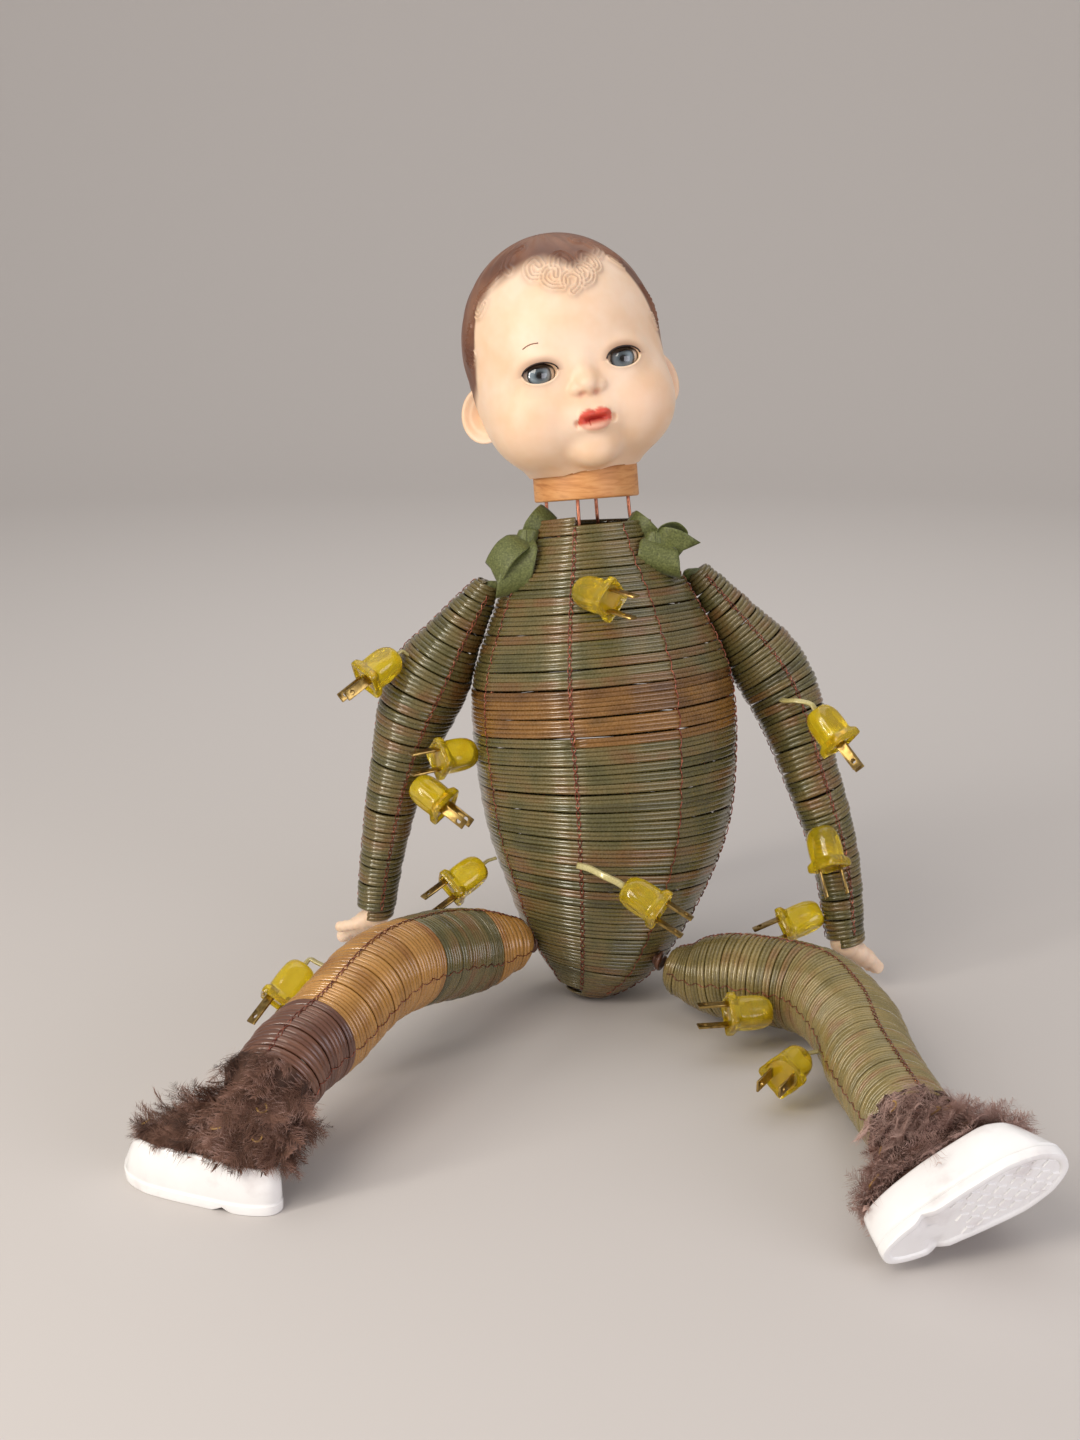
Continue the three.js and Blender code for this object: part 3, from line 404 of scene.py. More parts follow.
def wander(turns, size):
    return size * (0.5 * np.sin(fullTurn * 0.371 * turns + 0.7)
                   + 0.35 * np.sin(fullTurn * 0.823 * turns + 2.1)
                   + 0.3 * np.sin(fullTurn * 1.467 * turns + 4.0) + 0.2 * np.sin(fullTurn * 2.61 * turns))


def windCord(name, form, pitch, fromTurn, toTurn, steps, firstAngle, loose=None):
    turns = np.linspace(fromTurn, toTurn, round((toTurn - fromTurn) * steps) + 1)
    run = pitch * (turns + 0.5) + wander(turns, basket["loose"] if loose is None else loose)
    angle = firstAngle + fullTurn * turns
    ridge = basket["ridge"] * pitch
    lift = 0.25 * np.sin(fullTurn * 0.613 * turns + 1.1) + 0.15 * np.sin(fullTurn * 1.9 * turns)
    rings = np.stack([form.surface(run + across * ridge, angle, depth * ridge + lift)
                      for across, depth in cordProfile], axis=1)
    piece = loftRings(name, rings, turns)
    faceOut(piece)
    return piece


# Fine copper stitching that ties the rows to a spoke, over each row and down between rows
def stitchLine(form, pitch, fromTurn, toTurn, firstAngle, angle, spread, way=1, loose=None):
    share = (angle - firstAngle) / fullTurn % 1
    points = []
    for row in range(math.ceil(fromTurn - share), math.floor(toTurn - share) + 1):
        turns = row + share
        side = way * (1 if row % 2 else -1)
        middle = pitch * (turns + 0.5) + wander(turns, basket["loose"] if loose is None else loose)
        radius = float(np.interp(middle, form.run, form.edge[:, 1]))
        for step, lateral, depth in ((-0.5, -side, 0.75), (-0.25, -0.6 * side, -0.3), (0.0, 0.0, -0.12),
                                     (0.25, 0.6 * side, -0.3)):
            points.append(form.surface(middle + step * pitch, angle + lateral * spread / radius, depth))
    return np.array(points)


bodyPitch = bodyForm.span / (basket["rows"] + 1)
bandStart = round(bodyForm.runAt(basket["bandFrom"]) / bodyPitch)
bandEnd = round(bodyForm.runAt(basket["bandTo"]) / bodyPitch) + 0.25
for name, node, span, material in (
        ("basketLower", "body_winding_lower", (0, bandStart), olivePvc),
        ("basketBand", "body_winding_band", (bandStart, bandEnd), shadedGoldPvc),
        ("basketUpper", "body_winding_upper", (bandEnd, basket["rows"]), olivePvc)):
    rows = windCord(name, bodyForm, bodyPitch, span[0], span[1], basket["steps"], spokeStart)
    finishPiece(rows, material, "torso", node)
print("basket wound:", basket["rows"], "rows of", round(bodyPitch, 2), "mm")

# The basket's closed tip, a flat coil of the same cord
tipForm = Form(axisPoints, (0, -1, 0), [(1.7, 1.2), (1.9, 6), (2.6, 11.5), (4.0, 15.6)])
tipCoil = windCord("basketTip", tipForm, tipForm.span / 3.2, 0, 2.6, 40, spokeStart, 0.0)
finishPiece(tipCoil, olivePvc, "torso", "body_start_disc")

# Copper: bare drawn wire, warm and a little tarnished
copperTones = [(0.35, "#9a5a44"), (0.55, "#c98468"), (0.7, "#8a4a38")]  # patches of about 6 mm
copperWire = mottledMaterial("drawnCopper", 160.0, 3.0, copperTones, Metallic=1.0, Roughness=0.32)[0]
stitchTones = [(0.35, "#5f281d"), (0.52, "#8c4532"), (0.68, "#b87257")]  # worn red lacquer, 2.4 mm patches
stitchWire = mottledMaterial("lacqueredStitchWire", 420.0, 3.0, stitchTones, Metallic=0.75, Roughness=0.28,
                             Coat_Weight=0.5)[0]

spokeSize = {"count": 8, "radius": 1.1, "depth": 4.4, "circle": 25.5, "ringGap": 9.5, "intoRing": 5.7,
             "hub": 9}
ringBase = basket["height"] + spokeSize["ringGap"]


def aroundAxis(height, radius, angle):
    centre, along, out, across = bodyForm.frameAt(np.array(float(height)))
    past = max(0.0, height - bodyForm.at[-1])
    return centre + along * past + radius * (out * math.cos(angle) + across * math.sin(angle))


spokePieces = []
stitchPieces = []
stitchSize = {"radius": 0.36, "spread": 1.25}
for number in range(spokeSize["count"]):
    angle = spokeStart + fullTurn * number / spokeSize["count"]
    points = [aroundAxis(7, 0.5, angle), aroundAxis(7, spokeSize["hub"], angle)]
    points += [bodyForm.surface(share * bodyForm.span, angle, spokeSize["depth"])
               for share in np.linspace(0.05, 0.97, 30)]
    if number % 2 == 0:  # every second spoke goes on into the ring
        points = points[:-2]
        points += [aroundAxis(basket["height"] + rise, spokeSize["circle"] + lean, angle) for rise, lean in
                   ((-9, 2.4), (-3, 0.7), (4, 0.3), (spokeSize["ringGap"] + spokeSize["intoRing"], 0))]
    line = throughPoints(points, 3)
    spokePieces.append(loftRings("spoke", tubeRings(line, spokeSize["radius"], 10)))
    ways = (1, -1) if number in (0, 4) else (1,)
    for way in ways:
        run = stitchLine(bodyForm, bodyPitch, 0.2, basket["rows"] - 0.2, spokeStart, angle,
                         stitchSize["spread"] if len(ways) == 2 else 0.6, way)
        stitchPieces.append(loftRings("stitch", tubeRings(run, stitchSize["radius"], 5)))
spokes = joinPieces("copperSpokes", spokePieces)
faceOut(spokes)
finishPiece(spokes, copperWire, "torso", "spoke_frame")
bodyStitches = joinPieces("basketStitching", stitchPieces)
faceOut(bodyStitches)
finishPiece(bodyStitches, stitchWire, "torso")

# Turned neck ring: oiled softwood, grain round the axis
ringSize = {"radius": 32, "bore": 21, "height": 20, "edge": 1.3}
neckRing = newPiece(bpy.ops.mesh.primitive_cylinder_add, vertices=96, radius=ringSize["radius"] * mm,
                    depth=ringSize["height"] * mm)
bpy.ops.object.mode_set(mode="EDIT")
bpy.ops.mesh.select_mode(type="FACE")
bpy.ops.mesh.select_all(action="DESELECT")
bpy.ops.object.mode_set(mode="OBJECT")
for face in neckRing.data.polygons:
    face.select = abs(face.normal.z) > 0.9
bpy.ops.object.mode_set(mode="EDIT")
bpy.ops.mesh.inset(thickness=(ringSize["radius"] - ringSize["bore"]) * mm, use_individual=True)
bpy.ops.mesh.bridge_edge_loops()
bpy.ops.object.mode_set(mode="OBJECT")
applyModifier(neckRing, "BEVEL", width=ringSize["edge"] * mm, segments=3, limit_method="ANGLE")
bpy.ops.object.shade_smooth_by_angle(angle=math.radians(35))
ringCentre = aroundAxis(ringBase + ringSize["height"] / 2, 0, 0)
_, ringAlong, ringOut, ringAcross = bodyForm.frameAt(np.array(float(ringBase)))
ringTurn = Matrix(np.column_stack([ringAcross, -ringOut, ringAlong]).tolist()).to_4x4()
ringPlace = Matrix.Translation(Vector(ringCentre * mm)) @ ringTurn
neckRing.name = neckRing.data.name = "turnedNeckRing"
placeMesh(neckRing, ringPlace)
turnedWood, woodShader = newMaterial("oiledPineRing", Roughness=0.5, IOR=1.45)
place = addNode(turnedWood, "ShaderNodeTexCoord")
lay = addNode(turnedWood, "ShaderNodeMapping", {"Vector": place.outputs["Object"],
                                                "Rotation": (0.12, 0.35, 0.2), "Scale": (60, 60, 420)})
grain = addNode(turnedWood, "ShaderNodeTexNoise", {"Vector": lay.outputs[0], "Scale": 1.0, "Detail": 5.0,
                                                   "Distortion": 0.6})  # grain lines of about 2.4 mm
tint = setStops(addNode(turnedWood, "ShaderNodeValToRGB", {0: grain.outputs[0]}),
                [(0.3, "#b87843"), (0.48, "#d2945a"), (0.62, "#dca268"), (0.75, "#c28550")])
linkTo(turnedWood, tint.outputs[0], woodShader, "Base Color")
bump = addNode(turnedWood, "ShaderNodeBump",
               {"Strength": 0.2, "Distance": 0.0003, "Height": grain.outputs[0]})
linkTo(turnedWood, bump.outputs[0], woodShader, "Normal")
finishPiece(neckRing, turnedWood, "torso", "neck_ring")
print("spokes, stitching and neck ring made")

# Head: rotocast vinyl shaped from rounded masses that melt together; its own frame faces -Y
headPlace = (Matrix.Translation(Vector((-10.6, 51.8, 393.43)) * mm)
             @ Matrix.Rotation(math.radians(-11), 4, "Y") @ Matrix.Rotation(math.radians(9.5), 4, "Z")
             @ Matrix.Rotation(math.radians(-6), 4, "X") @ Matrix.Translation(Vector((-2.5, 0, 0)) * mm))
headTurn = np.array(headPlace.to_3x3())
headCentre = np.array(headPlace.translation) / mm


def fromHead(points):
    return np.asarray(points) @ headTurn.T + headCentre


def eggDistance(points, centre, sizes, backSize=None):
    sizes = np.array(sizes, float)
    offset = points - np.array(centre, float)
    scale = np.broadcast_to(sizes, offset.shape).copy()
    if backSize is not None:
        scale[..., 1] = np.where(offset[..., 1] > 0, backSize, sizes[1])
    near = np.linalg.norm(offset / scale, axis=-1)
    far = np.linalg.norm(offset / scale ** 2, axis=-1)
    return near * (near - 1) / np.maximum(far, 1e-9)


def melt(first, second, reach):
    share = np.maximum(reach - np.abs(first - second), 0) / reach
    return np.minimum(first, second) - share ** 2 * reach / 4


def carve(first, second, reach):
    return -melt(-first, second, reach)


face = {"eyeX": 25, "eyeY": -41.85, "eyeZ": -9, "eyeRadius": 11, "openWide": 10.4, "openTall": 6.1,
        "mouthX": 0.8, "mouthZ": -40.4, "mouthHalf": 10.0}
ringTop = aroundAxis(ringBase + ringSize["height"] + 0.5, 0, 0)
neckSpot = (ringTop - headCentre) @ headTurn


def headDistance(points):
    mirrored = points.copy()
    mirrored[..., 0] = np.abs(points[..., 0])
    value = eggDistance(points, (0, 4, 9), (60, 62, 65.5), 66)
    value = melt(value, eggDistance(points, (0, -4, -28), (55, 48, 46)), 18)
    value = melt(value, eggDistance(points, neckSpot, (31, 31, 13)), 14)  # neck
    value = melt(value, eggDistance(mirrored, (28.5, -27, -35), (26, 26, 26)), 16)  # cheeks
    value = melt(value, eggDistance(mirrored, (24, -41, -8.5), (15, 13.8, 12)), 8)  # lids
    value = melt(value, eggDistance(points, (0, -42, -39), (17, 17, 13)), 10)  # muzzle
    value = melt(value, eggDistance(points, (0, -43, -58), (13, 11, 10)), 8)  # chin
    value = melt(value, eggDistance(points, (0, -55.2, -19.5), (7.0, 8.6, 6.6)), 5)  # nose
    value = melt(value, eggDistance(points, (0, -49, -9), (5, 8, 11)), 7)
    value = melt(value, eggDistance(mirrored, (7.2, -54.4, -21.8), (4.5, 5.0, 4.0)), 1.8)
    value = carve(value, eggDistance(mirrored, (4.3, -60.4, -25.7), (2.5, 3.8, 1.9)), 1.0)  # nostrils
    mouth = points - np.array((face["mouthX"], 0, 0))
    mirroredMouth = mouth.copy()
    mirroredMouth[..., 0] = np.abs(mouth[..., 0])
    value = melt(value, eggDistance(mirroredMouth, (3.8, -57.6, -36.9), (5.6, 3.9, 2.5)), 1.8)  # upper lip
    value = melt(value, eggDistance(mouth, (0, -56.6, -44.6), (6.6, 3.9, 2.9)), 2.0)  # lower lip
    value = carve(value, eggDistance(mouth, (0, -60.5, -40.6), (7.6, 5.2, 2.0)), 1.0)  # parting
    value = carve(value, eggDistance(mirroredMouth, (10.8, -56.0, -41.5), (1.6, 2.4, 2.0)), 2.0)  # corners
    value = carve(value, eggDistance(points, (0, -62.0, -31.0), (1.8, 2.6, 3.4)), 2.0)  # philtrum
    return value


def onHead(directions, start=np.array((0.0, -4.0, -10.0))):
    low = np.zeros(directions.shape[:-1])
    high = np.full(directions.shape[:-1], 115.0)
    for _ in range(26):
        half = (low + high) / 2
        inside = headDistance(start + directions * half[..., None]) < 0
        low = np.where(inside, half, low)
        high = np.where(inside, high, half)
    return start + directions * high[..., None]


def onFace(x, z):
    spot = np.array((x, -80.0, z))
    for _ in range(60):
        spot = spot + np.array((0, 1, 0)) * max(0.05, 0.7 * float(headDistance(spot[None])[0]))
        if headDistance(spot[None])[0] < 0.02:
            break
    return spot


headGrid = {"around": 320, "rows": 280}
polar = np.pi * np.linspace(0, 1, headGrid["rows"] + 1)[1:-1]
turned = fullTurn * np.arange(headGrid["around"]) / headGrid["around"]
turned = turned - 0.45 * np.sin(turned)  # finer towards the face
directions = np.stack([np.outer(np.sin(polar), np.sin(turned)), -np.outer(np.sin(polar), np.cos(turned)),
                       np.outer(np.cos(polar), np.ones_like(turned))], axis=-1)
surface = onHead(directions)
top = onHead(np.array([[0.0, 0.0, 1.0]]))[0]
low = onHead(np.array([[0.0, 0.0, -1.0]]))[0]
headPoints = np.vstack([surface.reshape(-1, 3), top, low])
print("head shaped:", len(headPoints), "points; eye skin at", np.round(onFace(25, 0), 1))

# Painted moulded hair: hairline by angle round the head, and curls as raised locks
hairLine = [(-180, -34), (-120, -28), (-92, -18), (-78, -9), (-71, 8), (-67, 36), (-54, 47), (-36, 52),
            (-25, 55), (-9, 55), (2, 51), (10, 46), (22, 50), (44, 53), (53, 44), (60, 26), (66, 6),
            (84, -18), (120, -28), (180, -34)]
locks = [[(4, 33), (9, 36), (11, 41), (6, 44), (1, 42), (0, 39)],
         [(-2, 37), (-9, 39), (-13, 44), (-9, 49), (-3, 48), (-4, 44)],
         [(12, 36), (18, 38), (21, 43), (17, 48), (11, 47), (12, 43)],
         [(22, 43), (28, 45), (29, 51), (23, 54), (19, 51)],
         [(-15, 45), (-22, 47), (-24, 53), (-18, 56), (-14, 52)],
         [(-4, 50), (-1, 55), (6, 56), (10, 51), (7, 47)],
         [(-59, 38), (-64, 33), (-69, 37), (-66, 44), (-57, 48), (-48, 53)],
         [(-40, 53), (-47, 57), (-46, 63), (-36, 65)],
         [(36, 52), (44, 56), (42, 62), (32, 64)],
         [(47, 49), (53, 44), (57, 49), (51, 57), (43, 60)],
         [(-72, 12), (-77, 6), (-82, 11), (-79, 20), (-74, 28)],
         [(62, 12), (67, 6), (72, 12), (70, 22), (64, 30)]]
azimuth = np.degrees(np.arctan2(headPoints[:, 0], -headPoints[:, 1]))
lineAz, lineZ = np.array(hairLine, float).T
hairDepth = headPoints[:, 2] - np.interp(azimuth, lineAz, lineZ)
hair = np.clip(hairDepth / 12 + 0.5, 0, 1)
hair = hair * hair * (3 - 2 * hair)
raised = np.zeros(len(headPoints))
shaded = np.zeros(len(headPoints))
for lock in locks:
    spots = throughPoints([(a, z, 0) for a, z in lock], 10)[:, :2]
    radius = np.sqrt(np.maximum(62.0 ** 2 - spots[:, 1] ** 2, 400.0))
    here = np.sqrt(np.maximum(62.0 ** 2 - np.clip(headPoints[:, 2], -60, 60) ** 2, 400.0))
    nearest = np.full(len(headPoints), 1e9)
    for (lockAz, lockZ), lockRadius in zip(spots, radius):
        side = np.radians((azimuth - lockAz + 180) % 360 - 180) * (here + lockRadius) / 2
        nearest = np.minimum(nearest, side ** 2 + (headPoints[:, 2] - lockZ) ** 2)
    away = np.sqrt(nearest)
    strands = np.exp(-(away / 0.75) ** 2) + 0.85 * np.exp(-((away - 2.1) / 0.65) ** 2)
    raised = np.maximum(raised, strands)
    shaded = np.maximum(shaded, 0.55 * np.exp(-(away / 3.4) ** 2))
waves = 0.22 * np.sin(np.radians(azimuth) * 22 + 0.2 * headPoints[:, 2]
                      + 1.6 * np.sin(0.13 * headPoints[:, 2]))
hair = np.maximum(hair, shaded * (1 - 0.9 * np.clip(raised, 0, 1)))  # paint stays in the hollows of a curl
lift = 1.35 * raised + np.clip((hairDepth - 4) / 12, 0, 1) * waves
headPoints = headPoints + unit(headPoints - np.array((0, 4, 6))) * lift[:, None]

rows, around = headGrid["rows"] - 1, headGrid["around"]
rowIndex, sideIndex = np.meshgrid(np.arange(rows - 1), np.arange(around), indexing="ij")
nextIndex = (sideIndex + 1) % around
quads = np.stack([rowIndex * around + sideIndex, (rowIndex + 1) * around + sideIndex,
                  (rowIndex + 1) * around + nextIndex, rowIndex * around + nextIndex], axis=-1)
faces = quads.reshape(-1, 4).tolist()
faces += [[rows * around, k, (k + 1) % around] for k in range(around)]
lastRow = (rows - 1) * around
faces += [[rows * around + 1, lastRow + (k + 1) % around, lastRow + k] for k in range(around)]

# the neck rests flat on the ring, the jaw hangs past it
worldPoints = fromHead(headPoints)
rise = (worldPoints - ringTop) @ ringAlong
fromAxis = np.linalg.norm(worldPoints - ringTop - rise[:, None] * ringAlong, axis=1)
floorHeight = np.where(fromAxis < ringSize["radius"] + 1.5, 0.0, -6.0)
worldPoints = worldPoints - np.minimum(rise - floorHeight, 0)[:, None] * ringAlong
headPiece = meshPiece("vinylHead", worldPoints, faces)


def paintMask(piece, name, values):
    layer = piece.data.attributes.new(name, "FLOAT", "POINT")
    layer.data.foreach_set("value", np.asarray(values, np.float32))


frontal = headPoints[:, 1] < -20
lipX = (headPoints[:, 0] - face["mouthX"]) / face["mouthHalf"]
lipOpen = np.sqrt(np.clip(1 - lipX ** 2, 0, 1))
upperEdge = face["mouthZ"] + 6.8 * lipOpen ** 0.7 - 1.5 * np.exp(-(lipX / 0.2) ** 2)
lowerEdge = face["mouthZ"] - 7.0 * lipOpen ** 0.8
inLip = np.minimum(upperEdge - headPoints[:, 2], headPoints[:, 2] - lowerEdge)
lipMask = np.where(frontal & (np.abs(lipX) < 1), np.clip(inLip / 1.1 + 0.2, 0, 1), 0)
parting = np.where(frontal & (np.abs(lipX) < 0.95),
                   np.exp(-(((headPoints[:, 2] - face["mouthZ"] + 0.2) / 1.9) ** 2 + (lipX / 0.75) ** 4)),
                   0)
for sign in (-1, 1):
    hole = (headPoints - np.array((sign * 4.3, -61, -25.4))) / (2.3, 6, 1.7)
    parting = np.maximum(parting, 0.8 * np.exp(-np.sum(hole ** 2, axis=1)))
upperLip = np.interp(headPoints[:, 2], (-43.2, -41.6), (0.4, 1.0))
paintMask(headPiece, "hairPaint", hair)
paintMask(headPiece, "lipPaint", lipMask * upperLip)
paintMask(headPiece, "mouthLine", parting)
blush = np.zeros(len(headPoints))
# lidShade: brown airbrushed eye shadow round the lids, darkened into painted shade of the eye sockets,
# strongest above the eye
lidShade = np.zeros(len(headPoints))
for sign in (-1, 1):
    cheek = headPoints - np.array((sign * 33, -46, -33))
    blush = np.maximum(blush, np.exp(-np.sum((cheek / (15, 20, 13)) ** 2, axis=1)))
    lid = headPoints - np.array((sign * 25, -52, -9))
    above = np.where(lid[:, 2] > 0, 1.0, 0.35)
    rim = np.exp(-((lid[:, 0] / 12.5) ** 2 + ((lid[:, 2] - 1) / 8.6) ** 2) ** 3)
    lidShade = np.maximum(lidShade, np.where(frontal, above * rim, 0))
# airbrushed tan that is also painted shade, darker towards the underside of the jaw
paintMask(headPiece, "tanAndShadePaint", np.clip((-34 - headPoints[:, 2]) / 32, 0, 1))
paintMask(headPiece, "blushPaint", blush)
paintMask(headPiece, "lidPaintAndShade", lidShade)

# eye pockets, then the lid openings
for sign in (-1, 1):
    cutters = []
    for size, shift in (((11.7, 11.7, 11.7), 0), ((face["openWide"], 12, face["openTall"]), -11)):
        cutter = newPiece(bpy.ops.mesh.primitive_uv_sphere_add, segments=72, ring_count=40, radius=mm)
        spot = Vector((sign * face["eyeX"], face["eyeY"] + shift, face["eyeZ"])) * mm
        placeMesh(cutter, headPlace @ Matrix.Translation(spot) @ Matrix.Diagonal((*size, 1)))
        cutters.append(cutter)
    for cutter in cutters:
        applyModifier(headPiece, "BOOLEAN", operation="DIFFERENCE", solver="MANIFOLD", object=cutter)
        bpy.data.objects.remove(cutter)
chooseOnly(headPiece)
bpy.ops.object.shade_smooth_by_angle(angle=math.radians(48))

# Ears: a hollowed shell with a rolled rim
earSize = {"tall": 18.5, "wide": 15.0, "flare": -56, "lean": -13, "spot": (55.0, 2.5, -22.5)}
ears = []
for sign in (-1, 1):
    v = np.linspace(0, 1, 26)[1:]
    w = fullTurn * np.arange(40) / 40
    radius = np.concatenate([v, [0.98, 0.86]])
    rolledRim = 2.2 * np.sin(np.pi * np.minimum((v - 0.62) / 0.3, 1.2) * 0.5) ** 2 - 0.3
    bowl = -4.6 * np.cos(np.pi * v / 0.62 / 2) - 0.3
    height = np.concatenate([np.where(v > 0.62, rolledRim, bowl), [-0.6, -4.2]])
    rimWave = 1 + 0.05 * np.cos(2 * w) - 0.1 * np.cos(w - 0.6)
    shell = np.stack([np.outer(height, np.ones_like(w)),
                      np.outer(radius, np.cos(w) * rimWave) * earSize["wide"],
                      np.outer(radius, np.sin(w) * rimWave) * earSize["tall"]], axis=-1)
    # tragus
    shell[..., 0] += 2.6 * np.exp(-((shell[..., 1] + 6) / 3.2) ** 2 - ((shell[..., 2] + 2) / 4) ** 2)
    turn = np.array(Matrix.Rotation(math.radians(earSize["lean"]), 3, "Y")
                    @ Matrix.Rotation(math.radians(earSize["flare"]), 3, "Z"))
    shell = shell @ turn.T + np.array(earSize["spot"])
    shell[..., 0] *= sign
    ear = loftRings("ear", fromHead(shell))
    faceOut(ear)
    for mask in ("hairPaint", "lipPaint", "mouthLine", "lidPaintAndShade"):
        paintMask(ear, mask, np.zeros(len(ear.data.vertices)))
    paintMask(ear, "blushPaint", np.full(len(ear.data.vertices), 0.6))
    # painted shade in the ear's hollow
    paintMask(ear, "tanAndShadePaint", np.repeat(np.clip(-height / 3, 0, 1.6), len(w)))
    ears.append(ear)
headPiece = joinPieces("vinylHead", [headPiece] + ears)

# Vinyl skin: soft, slightly translucent, peach, with airbrushed hair, lips and cheeks
vinylSkin, skinShader = newMaterial("airbrushedVinyl", Roughness=0.46, IOR=1.5, Subsurface_Weight=0.1,
                                    Subsurface_Scale=0.004, Coat_Weight=0.12, Coat_Roughness=0.32)
skinShader.inputs["Subsurface Radius"].default_value = (1.0, 0.45, 0.25)
place = addNode(vinylSkin, "ShaderNodeTexCoord")
mottle = addNode(vinylSkin, "ShaderNodeTexNoise",
                 {"Vector": place.outputs["Object"], "Scale": 45.0, "Detail": 3.0})
colour = setStops(addNode(vinylSkin, "ShaderNodeValToRGB", {0: mottle.outputs[0]}),
                  [(0.35, "#f2ceab"), (0.65, "#f8dcc2")]).outputs[0]
# the tan and the lid colour are partly painted shade: under the jaw, in the ear's hollow and round the eye
# sockets
for mask, share, paint in (("tanAndShadePaint", 0.4, "#dcae7c"), ("lidPaintAndShade", 0.75, "#8a5a3c"),
                           ("blushPaint", 0.12, "#ee9f78"), ("lipPaint", 0.95, "#d9432f"),
                           ("mouthLine", 0.85, "#b02e28")):
    sprayed = addNode(vinylSkin, "ShaderNodeAttribute", attribute_name=mask)
    amount = addNode(vinylSkin, "ShaderNodeMath", {0: sprayed.outputs["Fac"], 1: share},
                     operation="MULTIPLY")
    colour = addNode(vinylSkin, "ShaderNodeMix", {0: amount.outputs[0], 6: colour, 7: hexColour(paint)},
                     data_type="RGBA").outputs[2]
# hair in soft sprayed clouds of 30 mm
strand = addNode(vinylSkin, "ShaderNodeTexNoise",
                 {"Vector": place.outputs["Object"], "Scale": 34.0, "Detail": 3.0})
hairTone = setStops(addNode(vinylSkin, "ShaderNodeValToRGB", {0: strand.outputs[0]}),
                    [(0.32, "#5d3a2a"), (0.5, "#734a36"), (0.68, "#8a6048")])
hairMask = addNode(vinylSkin, "ShaderNodeAttribute", attribute_name="hairPaint")
colour = addNode(vinylSkin, "ShaderNodeMix",
                 {0: hairMask.outputs["Fac"], 6: colour, 7: hairTone.outputs[0]},
                 data_type="RGBA").outputs[2]
linkTo(vinylSkin, colour, skinShader, "Base Color")
finishPiece(headPiece, vinylSkin, "head", "head_shell")


def faceStroke(name, line, radius, sides, material):
    stroke = loftRings(name, tubeRings(line, radius, sides))
    faceOut(stroke)
    finishPiece(stroke, material, "head")


# Painted brow on the viewer's left, a thin raised stroke
browLine = np.array([onFace(x, z) + np.array((0, 0.1, 0)) for x, z in
                     ((-31.5, 7.0), (-29, 8.2), (-26, 8.8), (-22.5, 8.6))])
browPaint = newMaterial("browPaint", "#8a5a42", Roughness=0.5)[0]
lashPaint = newMaterial("lashPaint", "#2a1810", Roughness=0.45)[0]
faceStroke("paintedBrow", throughPoints(fromHead(browLine), 6), 0.38, 6, browPaint)

# Sleep eyes: glass balls with a printed iris under a clear dome
eyeGlass, eyeShader = newMaterial("domedGlassEye", Roughness=0.06, IOR=1.5, Coat_Weight=1.0,
                                  Coat_Roughness=0.02)
gazeMap = addNode(eyeGlass, "ShaderNodeAttribute", attribute_name="gazeAway")
place = addNode(eyeGlass, "ShaderNodeTexCoord")
fleck = addNode(eyeGlass, "ShaderNodeTexNoise",
                {"Vector": place.outputs["Object"], "Scale": 900.0, "Detail": 2.0})
stray = addNode(eyeGlass, "ShaderNodeMath", {0: fleck.outputs[0], 1: 0.7}, operation="MULTIPLY")
away = addNode(eyeGlass, "ShaderNodeMath", {0: gazeMap.outputs["Fac"], 1: stray.outputs[0]},
               operation="ADD")
spread = addNode(eyeGlass, "ShaderNodeMath", {0: away.outputs[0], 1: 12.0}, operation="DIVIDE")
iris = setStops(addNode(eyeGlass, "ShaderNodeValToRGB", {0: spread.outputs[0]}),
                [(0.0, "#0c0a0b"), (0.18, "#0c0a0b"), (0.22, "#3a444b"), (0.36, "#74838c"),
                 (0.5, "#8494a0"), (0.6, "#4c5860"), (0.66, "#22282c"), (0.71, "#d5cfc6"),
                 (1.0, "#e6e0d6")])
colour = iris.outputs[0]
